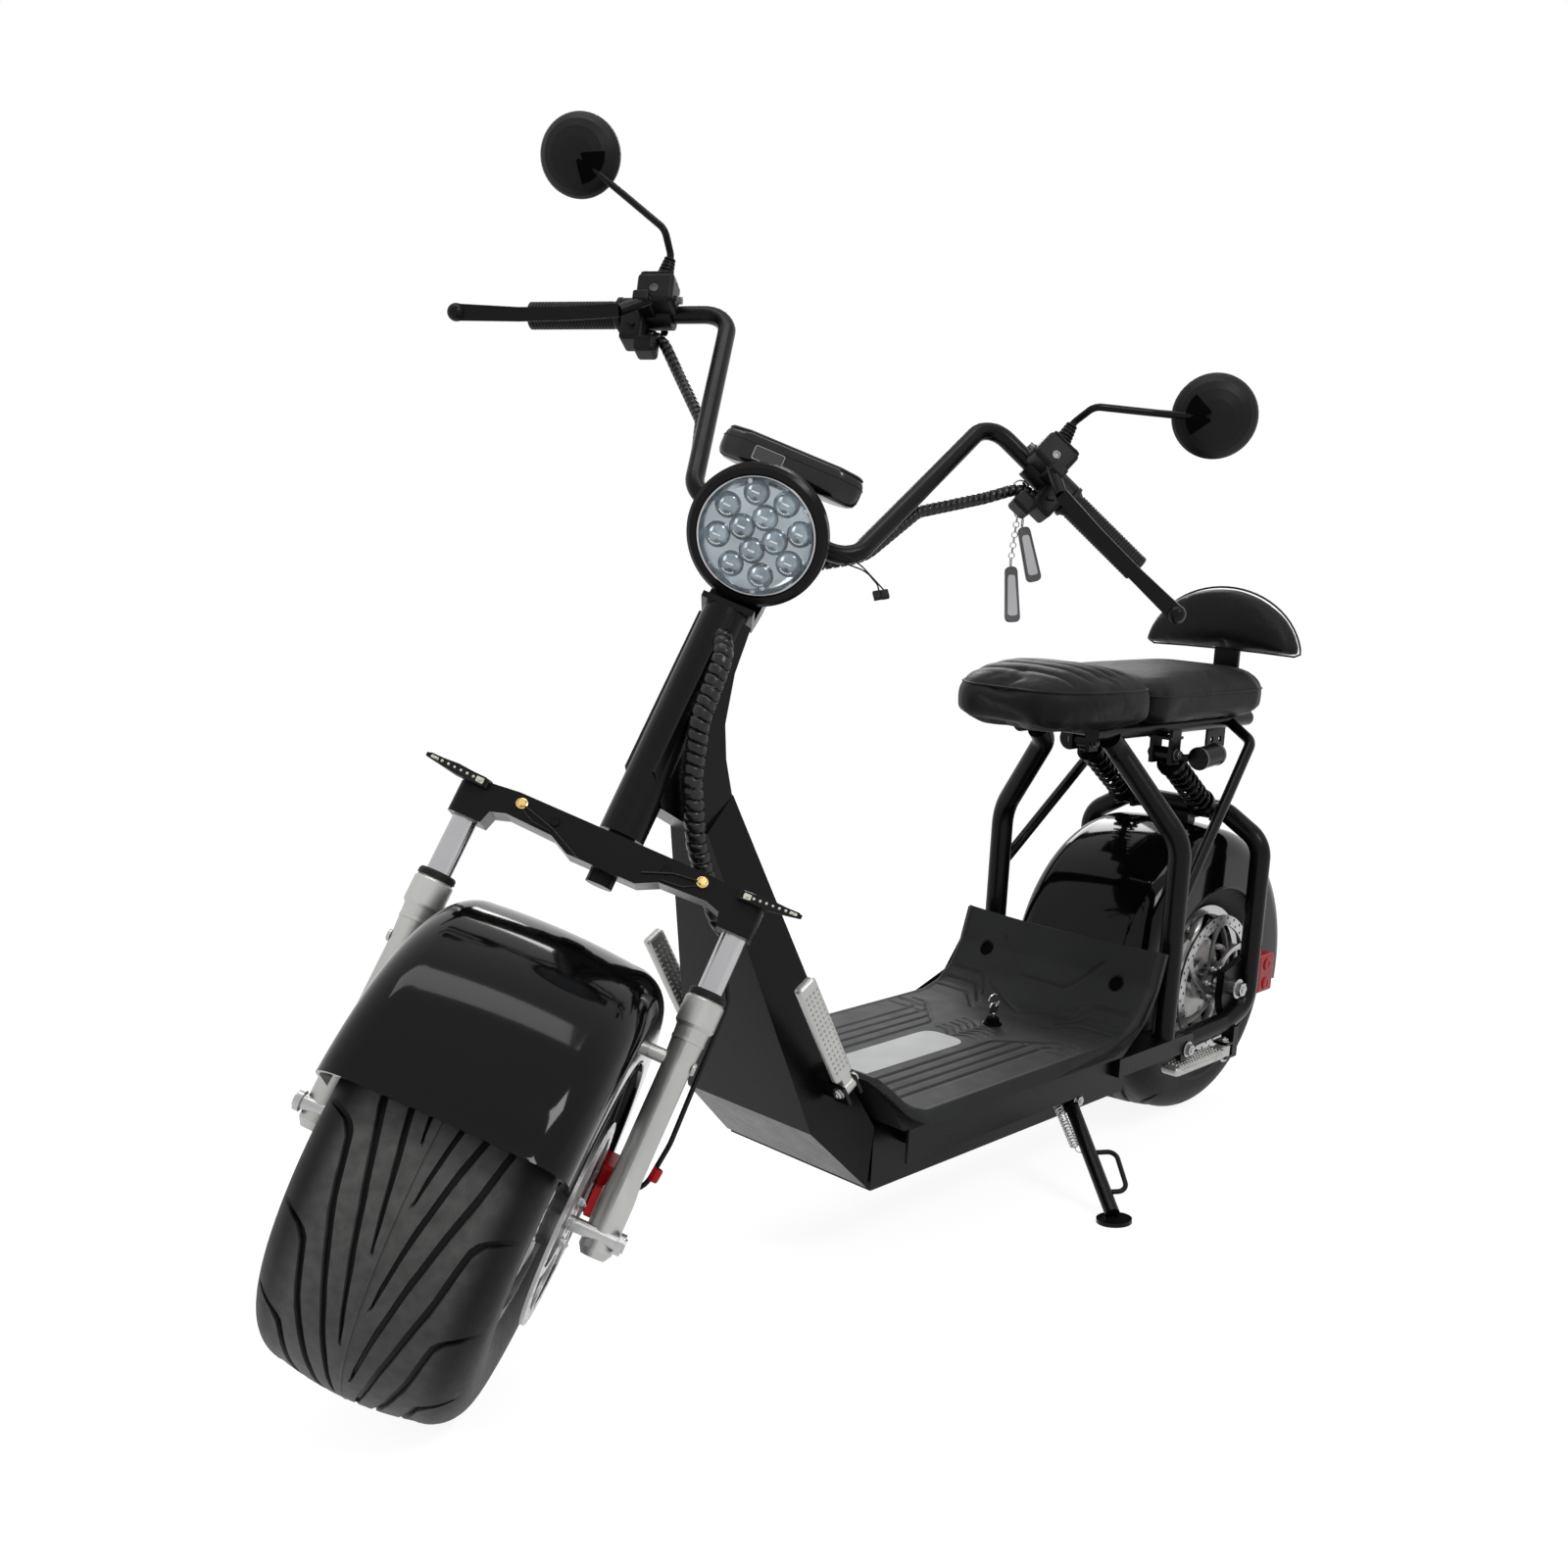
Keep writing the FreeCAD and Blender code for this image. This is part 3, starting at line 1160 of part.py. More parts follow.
def add_frame():
    adopt(deck_tray(), STAND, "frame")
    block, place = battery()
    adopt(block, STAND * place, "frame")
    adopt(rear_axle(), STAND, "frame")
    bolt = bound("Cylinder", "pivot_bolt", at(PIVOT_X, PIVOT_Y - 24, PIVOT_Z, ALONG_Y), Radius="pivot_radius", Height="50")
    adopt(pair("swingarm_bolts", bolt), STAND, "frame")
    spine = frame_spine()
    keep("frame_spine", spine, STAND, "frame")
    keep("frame_loom", largest(frame_loom().cut(spine)), STAND, "frame")
    keep("footboard_mat", footboard_mat(), STAND, "frame")
    keep("seat_frame", seat_frame(), STAND, "frame")
    seat_low = SEAT_RAIL_Z + s.rail_radius
    keep("seat_front", pad([(436, 92), (380, 104), (300, 112), (216, 112)], seat_low, 684.0, 26.0), STAND, "frame")
    keep("seat_rear", pad([(214, 110), (60, 112), (-80, 110), (-134, 96)], seat_low, 674.0, 22.0), STAND, "frame")
    keep("backrest", backrest(), STAND, "frame")
    rear_shell = fender_shell(s.rear_tyre_radius + s.rear_fender_gap, s.rear_fender_half, -188.0, -18.0)
    rear_shell.translate(FENDER_SHIFT)
    keep("rear_fender", rear_shell, REAR, "frame")
    keep("tail_lamp", largest(tail_lamp().cut(rear_shell)), REAR, "frame")
    hanger = Part.makeBox(22, 60, 22, Vector(-55, -30, AXLE + 224))
    over_wheel = rear_shell.copy()
    over_wheel.translate(Vector(0, 0, AXLE))
    arm = swingarm()
    arms = fused([arm, mirrored(arm), largest(hanger.cut(over_wheel))])
    keep("swingarm", arms, STAND, "frame")
    front_lug = peg_bracket((Vector(-14, -50, -12.4), Vector(14, -12, 12.4)))
    front_lug = largest(placed(front_lug, FRONT_PEG).cut(spine))
    rear_lug = peg_bracket((Vector(-24, -11, -12.4), Vector(-10, 9, 34)))
    rear_lug = largest(placed(rear_lug, REAR_PEG).cut(arms))
    keep("peg_brackets", Part.makeCompound([both(front_lug), both(rear_lug)]), STAND, "frame")
    front_peg = placed(peg(6.5, 14.0), FRONT_PEG)
    rear_peg = placed(peg(14.0, 6.5), REAR_PEG)
    keep("peg_front_left", front_peg, STAND, "peg_front_left")
    keep("peg_front_right", mirrored(front_peg), STAND, "peg_front_right")
    keep("peg_rear_left", rear_peg, STAND, "peg_rear_left")
    keep("peg_rear_right", mirrored(rear_peg), STAND, "peg_rear_right")
    keep("shocks", both(shock()), STAND, "frame")
    keep("shock_springs", both(shock_spring()), STAND, "frame")
    keep("rear_caliper", rear_caliper(), STAND, "frame")
    keep("stand_bracket", stand_bracket(), STAND, "frame")
    keep("stand_leg", stand_leg(), STAND, "side_stand")


def centre_on_origin():
    """Moves the whole vehicle over the floor until its bounding box is centred on the origin."""
    global STAND, FORK, REAR
    box = FreeCAD.BoundBox()
    doc.recompute()
    for piece in parts.values():
        for point in piece.Shape.tessellate(0.4)[0]:
            box.add(point)
    shift = Placement(Vector(-box.Center.x, -box.Center.y, 0), Rotation())
    for piece in parts.values():
        piece.Placement = shift * piece.Placement
    STAND, FORK, REAR = shift * STAND, shift * FORK, shift * REAR


def main():
    add_wheels()
    add_fork()
    add_frame()
    centre_on_origin()
    doc.recompute()
    for piece in doc.Objects:
        if "Invalid" in piece.State or "Error" in piece.State:
            raise RuntimeError("%s failed: %s" % (piece.Label, piece.State))
    for name, piece in parts.items():
        shape = piece.Shape
        if shape.isNull() or not shape.isValid() or not shape.Solids:
            raise RuntimeError("%s is not a valid solid" % name)
    os.makedirs("parts", exist_ok=True)
    for name, piece in parts.items():
        piece.Shape.exportStep("parts/%s.step" % name)


main()
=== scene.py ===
"""Looks of a two-wheeled electric chopper scooter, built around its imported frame."""

import json
from math import atan2, cos, degrees, exp, hypot, pi, radians, sin, sqrt, tan

import bmesh
import bpy
import numpy as np
from mathutils import Matrix, Vector
from mathutils.bvhtree import BVHTree


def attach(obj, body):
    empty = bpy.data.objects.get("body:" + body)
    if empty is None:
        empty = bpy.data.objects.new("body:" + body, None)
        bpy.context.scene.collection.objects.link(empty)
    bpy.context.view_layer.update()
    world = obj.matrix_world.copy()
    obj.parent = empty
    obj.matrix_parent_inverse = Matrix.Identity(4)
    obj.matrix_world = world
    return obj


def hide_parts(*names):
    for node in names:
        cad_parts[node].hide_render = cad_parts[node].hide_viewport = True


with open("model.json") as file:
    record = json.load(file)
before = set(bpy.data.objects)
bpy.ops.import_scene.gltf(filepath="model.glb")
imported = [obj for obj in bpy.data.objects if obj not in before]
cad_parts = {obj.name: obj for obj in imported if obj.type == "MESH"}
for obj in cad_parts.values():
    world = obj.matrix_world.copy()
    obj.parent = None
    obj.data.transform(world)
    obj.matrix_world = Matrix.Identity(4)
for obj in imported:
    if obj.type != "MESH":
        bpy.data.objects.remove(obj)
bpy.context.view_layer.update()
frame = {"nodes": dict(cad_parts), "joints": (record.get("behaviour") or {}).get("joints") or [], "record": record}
nodes = frame["nodes"]
joints = {j["name"]: j for j in frame["joints"]}
scene = bpy.context.scene

# Frames in millimetres: V is the vehicle (X forward, Y to the rider's left, origin on the floor under
# the rear axle), F the fork (origin at the front axle, Z along the steering axis), W the rear wheel
RAKE = radians(30.56)
REAR_AXLE = 210.0
side = Vector(joints["rear_wheel_spin"]["axis"])
steer = Vector(joints["steering_turn"]["axis"])
across = side.cross(steer)


def placed(x, y, z, origin):
    """The matrix from millimetres in the given axes to metres in the row frame."""
    m = Matrix((x, y, z)).transposed().to_4x4()
    return Matrix.Translation(origin) @ m @ Matrix.Scale(0.001, 4)


ahead = across * cos(RAKE) - steer * sin(RAKE)
above = across * sin(RAKE) + steer * cos(RAKE)
rear_centre = Vector(joints["rear_wheel_spin"]["pos_m"])
V = placed(ahead, side, above, rear_centre - above * REAR_AXLE * 0.001)
W = placed(ahead, side, above, rear_centre)
front_side = Vector(joints["front_wheel_spin"]["axis"])
F = placed(front_side.cross(steer), front_side, steer, Vector(joints["front_wheel_spin"]["pos_m"]))

# A spot is a frame and the body that rides in it
CHASSIS, FORK = (V, "frame"), (F, "steering")
FRONT_WHEEL, REAR_WHEEL = (F, "front_wheel"), (W, "rear_wheel")
SIDES = ((1, "left"), (-1, "right"))
X, Y, Z = (1, 0, 0), (0, 1, 0), (0, 0, 1)


# Camera, lights and floor

LENS, SENSOR = 36.84, 36.0
CAMERA_AT = (2159.27, 1258.72, 867.37)
CAMERA_RIGHT, CAMERA_DOWN = (-0.6954, 0.7168, 0.0519), (0.0816, 0.1504, -0.9853)
CAMERA_FORWARD = (-0.7140, -0.6809, -0.1631)
WORLD_LEVEL = 0.42
FLOOR_GREY, FLOOR_GLOW = 0.25, 0.9


def add_camera():
    """Camera at the photograph's viewing point, given in the vehicle's frame."""
    data = bpy.data.cameras.new("camera")
    data.lens, data.sensor_width, data.clip_end = LENS, SENSOR, 60
    camera = bpy.data.objects.new("camera", data)
    scene.collection.objects.link(camera)
    turn = V.to_3x3() * 1000.0
    right, down, forward = (turn @ Vector(v) for v in (CAMERA_RIGHT, CAMERA_DOWN, CAMERA_FORWARD))
    axes = Matrix((right, -down, -forward)).transposed().to_4x4()
    camera.matrix_world = Matrix.Translation(V @ Vector(CAMERA_AT)) @ axes.normalized()
    scene.camera = camera


def add_area(name, at, towards, size, power, mirrored=True):
    data = bpy.data.lights.new(name, "AREA")
    data.shape = "RECTANGLE"
    data.size, data.size_y = size
    data.energy = power
    light = bpy.data.objects.new(name, data)
    scene.collection.objects.link(light)
    light.visible_glossy = mirrored
    light.location = at
    light.rotation_euler = (Vector(towards) - Vector(at)).to_track_quat("-Z", "Y").to_euler()


def feed(tree, node, inputs):
    """Gives a node's inputs their values, or links them to the sockets given instead."""
    for key, value in inputs.items():
        if isinstance(value, bpy.types.NodeSocket):
            tree.links.new(value, node.inputs[key])
        else:
            node.inputs[key].default_value = value


def add_node(tree, kind, inputs, **settings):
    node = tree.nodes.new("ShaderNode" + kind)
    for key, value in settings.items():
        setattr(node, key, value)
    feed(tree, node, inputs)
    return node


def seen_directly(tree):
    """1 where the ray comes from the camera, a glossy bounce or a refraction."""
    path = add_node(tree, "LightPath", {}).outputs
    first = {0: path["Is Camera Ray"], 1: path["Is Glossy Ray"]}
    either = add_node(tree, "Math", first, operation="MAXIMUM").outputs[0]
    second = {0: either, 1: path["Is Transmission Ray"]}
    return add_node(tree, "Math", second, operation="MAXIMUM").outputs[0]


def add_surroundings():
    """White surroundings for the camera and for reflections, a pale floor, and four soft lamps."""
    world = bpy.data.worlds.new("studio")
    scene.world = world
    world.use_nodes = True
    tree = world.node_tree
    level = add_node(tree, "MapRange", {"Value": seen_directly(tree), "To Min": WORLD_LEVEL, "To Max": 1.0})
    feed(tree, tree.nodes["Background"], {"Strength": level.outputs["Result"], "Color": (1, 1, 1, 1)})

    bpy.ops.mesh.primitive_grid_add(x_subdivisions=8, y_subdivisions=8, size=30)
    floor = bpy.context.object
    floor.name = "floor"
    floor.location.z = -0.001
    mat = bpy.data.materials.new("floor")
    mat.use_nodes = True
    tree = mat.node_tree
    tree.nodes.remove(tree.nodes["Principled BSDF"])
    level = add_node(tree, "Math", {0: seen_directly(tree), 1: FLOOR_GLOW}, operation="MULTIPLY")
    glow = add_node(tree, "Emission", {"Strength": level.outputs[0]})
    matte = add_node(tree, "BsdfDiffuse", {"Color": (FLOOR_GREY, FLOOR_GREY, FLOOR_GREY, 1)})
    both = add_node(tree, "AddShader", {0: glow.outputs[0], 1: matte.outputs[0]})
    feed(tree, tree.nodes["Material Output"], {"Surface": both.outputs[0]})
    floor.data.materials.append(mat)
    scene.view_settings.view_transform = "Standard"

    add_area("key", (0.5, 3.3, 3.1), (0, 0, 0.4), (1.3, 0.9), 58)
    add_area("front", (3.4, -0.6, 1.9), (0.3, 0, 0.4), (1.2, 2.0), 34, mirrored=False)
    add_area("back", (-2.6, -2.2, 2.6), (0, 0, 0.5), (1.6, 1.2), 46)
    add_area("top", (0.2, 0.2, 3.6), (0, 0, 0.3), (2.6, 0.7), 26)


# Materials

MATS = {}
BUMP_DEPTH = 0.0006


def material(name, color, rough, metallic=0.0, vary=0.25, patch=9.0, grain=700.0, bump=0.10,
             spec=0.5, coat=0.0, coat_rough=0.05, spread=0.08, cells=False, tone=None):
    """A material whose colour, roughness and surface vary with noise in the object's own space.
    tone = (attribute, colour) blends to that colour where the attribute is 1."""
    mat = bpy.data.materials.new(name)
    mat.use_nodes = True
    tree = mat.node_tree
    where = add_node(tree, "TexCoord", {}).outputs["Object"]

    def noise(scale, detail):
        inputs = {"Scale": scale, "Detail": detail, "Vector": where}
        return add_node(tree, "TexNoise", inputs).outputs["Fac"]

    def shades(fac, color):
        ramp = add_node(tree, "ValToRGB", {"Fac": fac})
        low, high = ramp.color_ramp.elements
        low.position, high.position = 0.3, 0.72
        low.color = (*(x * (1 - vary) for x in color), 1)
        high.color = (*(min(1.0, x * (1 + vary)) for x in color), 1)
        return ramp.outputs["Color"]

    base = shades(noise(patch, 6.0), color)
    if tone:
        mask = add_node(tree, "Attribute", {}, attribute_name=tone[0]).outputs["Fac"]
        worn = shades(noise(patch * 2.5, 8.0), tone[1])
        base = add_node(tree, "Mix", {"Factor": mask, 6: base, 7: worn}, data_type="RGBA").outputs[2]
    limits = {"To Min": max(0.02, rough - spread), "To Max": min(1.0, rough + spread)}
    level = add_node(tree, "MapRange", {"Value": noise(patch * 3.7, 5.0), **limits})
    if cells:
        voronoi = add_node(tree, "TexVoronoi", {"Vector": where}, feature="DISTANCE_TO_EDGE")
        voronoi.inputs["Scale"].default_value = grain
        height = voronoi.outputs["Distance"]
    else:
        height = noise(grain, 3.0)
    relief = add_node(tree, "Bump", {"Strength": bump, "Distance": BUMP_DEPTH, "Height": height})
    feed(tree, tree.nodes["Principled BSDF"], {
        "Base Color": base, "Metallic": metallic, "Roughness": level.outputs["Result"],
        "Specular IOR Level": spec, "Coat Weight": coat, "Coat Roughness": coat_rough,
        "Normal": relief.outputs["Normal"],
    })
    MATS[name] = mat
    return mat


def add_materials():
    material("frame_black", (0.0042, 0.0042, 0.0048), 0.27, bump=0.12, grain=1100, spec=0.13)
    material("gloss_black", (0.0022, 0.0022, 0.0026), 0.09, bump=0.02, grain=260, spec=0.10, coat=0.12,
             coat_rough=0.03, spread=0.04)
    material("cast_silver", (0.47, 0.47, 0.455), 0.38, metallic=0.75, bump=0.22, grain=900, spread=0.10,
             vary=0.12)
    material("polished", (0.40, 0.40, 0.41), 0.16, metallic=1.0, bump=0.05, grain=1500, vary=0.08)
    material("steel", (0.42, 0.42, 0.42), 0.30, metallic=1.0, bump=0.15, grain=1400, vary=0.12)
    # The tread tone is paler on the worn lands and darker down the grooves, where it is painted shade
    material("tyre", (0.0045, 0.0045, 0.0045), 0.52, bump=0.30, grain=1200, spec=0.15, patch=30,
             tone=("tread", (0.085, 0.088, 0.084)))
    material("rubber", (0.006, 0.006, 0.0065), 0.50, bump=0.35, grain=900, spec=0.18)
    material("mat_rubber", (0.0105, 0.011, 0.0115), 0.58, bump=0.35, grain=1000, spec=0.2)
    material("seat_leather", (0.006, 0.006, 0.0065), 0.50, bump=0.5, grain=420, spec=0.14, cells=True)
    material("plastic_black", (0.0045, 0.0045, 0.005), 0.46, bump=0.30, grain=1000, spec=0.16)
    material("dash_black", (0.004, 0.004, 0.005), 0.22, bump=0.08, grain=600, spec=0.25, coat=0.2)
    material("caliper_red", (0.48, 0.003, 0.008), 0.30, bump=0.10, grain=600, spec=0.2, coat=0.1)
    material("battery_case", (0.02, 0.02, 0.024), 0.55, bump=0.2, grain=800)
    material("tail_red", (0.34, 0.006, 0.008), 0.16, bump=0.10, grain=500, coat=0.5)
    material("mirror_glass", (0.75, 0.77, 0.78), 0.03, metallic=1.0, bump=0.0, vary=0.02, spread=0.01)
    material("brass", (0.72, 0.50, 0.20), 0.26, metallic=1.0, bump=0.10, grain=900, vary=0.15)
    material("reflector", (0.36, 0.39, 0.41), 0.16, metallic=0.9, bump=0.06, grain=300, vary=0.22)
    material("lamp_pearl", (0.26, 0.30, 0.33), 0.14, metallic=0.5, bump=0.05, grain=300, coat=0.5, vary=0.4,
             patch=40)
    material("blank_label", (0.30, 0.305, 0.31), 0.5, bump=0.06, grain=900, vary=0.06)
    material("lamp_white", (0.85, 0.86, 0.84), 0.4, bump=0.02, grain=600, vary=0.04)
    material("signal_lens", (0.62, 0.60, 0.50), 0.2, bump=0.05, grain=500, vary=0.12, coat=0.4)
    material("loom_wrap", (0.005, 0.005, 0.0055), 0.30, bump=0.2, grain=900, spec=0.35)
    # Near-black and unreflecting: the colour of the mirror sockets and the battery lock, and painted shade on the
    # discs that close the mat's round holes
    material("black_and_hole_shade", (0.0012, 0.0012, 0.0012), 0.75, bump=0.1, grain=800, spec=0.03)
    material("gunmetal", (0.10, 0.10, 0.105), 0.35, metallic=0.8, bump=0.15, grain=1000)
    material("screen", (0.002, 0.002, 0.003), 0.05, bump=0.01, grain=200, spec=0.5, coat=0.6)
    glass = material("lens_clear", (0.93, 0.96, 0.97), 0.03, bump=0.02, vary=0.03, spread=0.01)
    shader = glass.node_tree.nodes["Principled BSDF"]
    shader.inputs["Transmission Weight"].default_value = 1.0
    shader.inputs["IOR"].default_value = 1.12


def dress_nodes():
    """Every node takes the material of its slot in the record."""
    slots = {p["node"]: p["material_slot"] for p in frame["record"]["subparts"]}
    for name, node in nodes.items():
        node.data.materials.clear()
        node.data.materials.append(MATS[slots[name]])


# Mesh helpers


def piece(name, verts, faces, spot, slot, mat=None, sharp=35.0, hides=()):
    """A mesh from millimetre points of a spot's frame, riding on its body."""
    place, body = spot
    mesh = bpy.data.meshes.new(name)
    mesh.from_pydata([place @ Vector(v) for v in verts], [], faces)
    mesh.shade_smooth()
    mesh.set_sharp_from_angle(angle=radians(sharp))
    obj = bpy.data.objects.new(name, mesh)
    scene.collection.objects.link(obj)
    mesh.materials.append(MATS[mat or slot])
    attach(obj, body)
    for node in hides:
        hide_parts(node)
    return obj


def sheet_faces(rows, cols, close_cols=False):
    """Quads of a grid of rows * cols points, stored row by row."""
    faces = []
    for i in range(rows - 1):
        for j in range(cols if close_cols else cols - 1):
            here, beside = i * cols + j, i * cols + (j + 1) % cols
            faces.append((here, beside, beside + cols, here + cols))
    return faces


def table(rows, x):
    """Straight-line reading of a table of (x, value) rows."""
    if x <= rows[0][0]:
        return rows[0][1]
    for (a, u), (b, v) in zip(rows, rows[1:]):
        if x <= b:
            return u + (v - u) * (x - a) / (b - a)
    return rows[-1][1]


def smooth(x, low, high):
    """0 up to low, 1 from high, and an even ramp between."""
    t = min(1.0, max(0.0, (x - low) / (high - low)))
    return t * t * (3 - 2 * t)


class Form:
    """Points in millimetres and faces, gathered from several simple surfaces."""

    def __init__(self):
        self.verts, self.faces = [], []

    def skin(self, rows, close_cols=False, caps=False):
        first, cols = len(self.verts), len(rows[0])
        self.verts += [Vector(p) for row in rows for p in row]
        self.faces += [tuple(first + i for i in f) for f in sheet_faces(len(rows), cols, close_cols)]
        if caps:
            last = first + (len(rows) - 1) * cols
            self.faces += [tuple(range(first + cols - 1, first - 1, -1)), tuple(range(last, last + cols))]

    def add(self, other):
        first = len(self.verts)
        self.verts += other.verts
        self.faces += [tuple(first + i for i in f) for f in other.faces]


def built(name, form, spot, slot, mat=None, sharp=35.0, hides=()):
    """A piece from a form, its doubled points merged and its faces turned outwards."""
    obj = piece(name, form.verts, form.faces, spot, slot, mat, sharp, hides)
    bm = bmesh.new()
    bm.from_mesh(obj.data)
    bmesh.ops.remove_doubles(bm, verts=bm.verts, dist=2e-6)
    bmesh.ops.recalc_face_normals(bm, faces=bm.faces)
    bm.to_mesh(obj.data)
    bm.free()
    obj.data.set_sharp_from_angle(angle=radians(sharp))
    return obj


def polar(radius, turn, height=0.0):
    """The point at a radius and a turn about Z."""
    return Vector((radius * cos(turn), radius * sin(turn), height))


def about_axle(radius, turn, y):
    """The point at a radius and a turn about a wheel's axle."""
    return radius * cos(turn), y, radius * sin(turn)


def frame_at(origin, axis, toward=X):
    """Axes at a point, with Z along the given axis and X near the other direction."""
    z = Vector(axis).normalized()
    x = Vector(toward) - z * z.dot(Vector(toward))
    x = z.orthogonal() if x.length < 1e-3 else x
    x.normalize()
    return Matrix.Translation(origin) @ Matrix((x, z.cross(x), z)).transposed().to_4x4()


def flipped(hand):
    """Mirrors to the rider's right when hand is -1."""
    return Matrix.Diagonal((1, hand, 1, 1))


def turned(form, profile, axes, steps=40):
    """A surface turned from (radius, height) points about the Z of the axes."""
    turns = [2 * pi * k / steps for k in range(steps)]
    form.skin([[axes @ polar(r, a, h) for a in turns] for r, h in profile], close_cols=True)


def slab(form, outline, axes, low, high, edge=0.6):
    """A plate with bevelled edges from an outline of (x, y) points, drawn anticlockwise."""
    count = len(outline)
    inner = []
    for k, (x, y) in enumerate(outline):
        a, b = Vector(outline[k - 1]), Vector(outline[(k + 1) % count])
        inner.append(Vector((x, y)) + Vector((a.y - b.y, b.x - a.x)).normalized() * edge)
    levels = [(inner, low), (outline, low + edge), (outline, high - edge), (inner, high)]
    rows = [[axes @ Vector((p[0], p[1], z)) for p in ring] for ring, z in levels]
    form.skin(rows, close_cols=True, caps=True)


def cut_length(before, corner, after, half, radius):
    """Length that a rounded corner takes from each of its runs, at most about half of the shorter."""
    return min(radius / tan(half), 0.48 * (before - corner).length, 0.48 * (after - corner).length)


def rounded_outline(corners, radius, n=6):
    """Outline points with each corner rounded. A corner may carry its own radius as a third number."""
    points = []
    count = len(corners)
    for k, corner in enumerate(corners):
        here, a, b = Vector(corner[:2]), Vector(corners[k - 1][:2]), Vector(corners[(k + 1) % count][:2])
        into, out = (a - here).normalized(), (b - here).normalized()
        cut = cut_length(a, here, b, into.angle(out) / 2, corner[2] if len(corner) > 2 else radius)
        p, q = here + into * cut, here + out * cut
        for j in range(n + 1):
            t = j / n
            points.append(tuple(p * (1 - t) ** 2 + here * 2 * t * (1 - t) + q * t * t))
    return points


def rectangle(x, y, radius, n=6):
    """Outline of a rounded rectangle from its half sizes."""
    return rounded_outline([(-x, -y), (x, -y), (x, y), (-x, y)], radius, n)


def hexagon(radius):
    return [(radius * cos(pi * k / 3), radius * sin(pi * k / 3)) for k in range(6)]


def rounded(points, radius, step=4.0):
    """Points along straight runs whose corners are rounded by arcs."""
    pts = [Vector(p) for p in points]
    path = [pts[0]]
    for before, corner, after in zip(pts, pts[1:], pts[2:]):
        into, out = (before - corner).normalized(), (after - corner).normalized()
        half = into.angle(out) / 2
        cut = cut_length(before, corner, after, half, radius)
        r = cut * tan(half)
        centre = corner + (into + out).normalized() * (r / sin(half))
        a, b = corner + into * cut - centre, corner + out * cut - centre
        path += [centre + a.slerp(b, k / 8).normalized() * r for k in range(9)]
    path.append(pts[-1])
    fine = [path[0]]
    for a, b in zip(path, path[1:]):
        n = max(1, round((b - a).length / step))
        fine += [a.lerp(b, k / n) for k in range(1, n + 1)]
    return fine


def swept(form, path, size, sides=10):
    """A tube along the path. size is a radius, or gives one from the length so far and the angle."""
    pts = [Vector(p) for p in path]
    last = len(pts) - 1
    normal, length, rows = None, 0.0, []
    for i, p in enumerate(pts):
        way = (pts[min(i + 1, last)] - pts[max(i - 1, 0)]).normalized()
        normal = way.orthogonal() if normal is None else normal - way * normal.dot(way)
        normal.normalize()
        other = way.cross(normal)
        length += (p - pts[i - 1]).length if i else 0.0
        row = []
        for k in range(sides):
            a = 2 * pi * k / sides
            r = size(length, a) if callable(size) else size
            row.append(p + normal * (r * cos(a)) + other * (r * sin(a)))
        rows.append(row)
    form.skin(rows, close_cols=True, caps=True)


def coil(start, end, radius, turns, per_turn=22):
    """Points of a helix between two points."""
    axes = frame_at(start, Vector(end) - Vector(start))
    high, n = (Vector(end) - Vector(start)).length, round(turns * per_turn)
    return [axes @ polar(radius, 2 * pi * turns * k / n, high * k / n) for k in range(n + 1)]


def ring_path(axes, radius, n=24):
    """Points once round the Z of the axes."""
    return [axes @ polar(radius, 2 * pi * k / n) for k in range(n + 1)]


def bolt(form, axes, radius, height):
    """Hexagon head on its washer, with the end of the thread standing proud."""
    washer, thread = radius * 1.36, radius * 0.45
    rim = [(radius * 1.3, 0), (washer, 0.3), (washer, 1.1), (radius * 1.28, 1.5)]
    turned(form, [(0, 0)] + rim + [(0, 1.5)], axes, 28)
    slab(form, hexagon(radius), axes, 1.5, height, 0.5)
    tip = [(thread, height - 1), (thread, height + 1.2), (radius * 0.36, height + 1.6), (0, height + 1.6)]
    turned(form, tip, axes, 16)


def screw(form, axes, radius, height):
    """Round head with a socket."""
    r, floor = radius, height - 0.9
    head = [(r, 0), (r, height * 0.6), (r * 0.86, height), (r * 0.55, height), (r * 0.5, floor), (0, floor)]
    turned(form, head, axes, 24)


# Tyres: the tables of the grooves run over the half width of the tread

PITCHES, STEPS = 14, 10
PITCH = 360.0 / PITCHES
TREAD_START = -32.5
GROOVE_TURN = [(7, 0), (18, 18), (31, 34), (44, 47), (56, 58), (66, 70), (70, 73.5), (78, 76), (90, 77.5),
               (100, 78.5)]
GROOVE_WIDTH = [(6, 3.6), (20, 6.0), (45, 7.4), (66, 7.4), (80, 6.5), (100, 5.0)]
GROOVE_DEPTH = 5.0
GROOVE_ACROSS = (-1.0, -0.66, 0.0, 0.66, 1.0)
CENTRE_RIB, WALL_RIB = 0.5, 1.2
SHOULDER, CROWN_DROP = 66, 7.0


def arc_through(a, b, c, n):
    """n points after a on the arc through three (y, r) points."""
    (ax, ay), (bx, by), (cx, cy) = a, b, c
    d = 2 * (ax * (by - cy) + bx * (cy - ay) + cx * (ay - by))
    sa, sb, sc = ax * ax + ay * ay, bx * bx + by * by, cx * cx + cy * cy
    ux = (sa * (by - cy) + sb * (cy - ay) + sc * (ay - by)) / d
    uy = (sa * (cx - bx) + sb * (ax - cx) + sc * (bx - ax)) / d
    radius = hypot(ax - ux, ay - uy)
    start, end = atan2(ay - uy, ax - ux), atan2(cy - uy, cx - ux)
    turn = (end - start + pi) % (2 * pi) - pi
    turns = [start + turn * k / n for k in range(1, n + 1)]
    return [(ux + radius * cos(t), uy + radius * sin(t)) for t in turns]


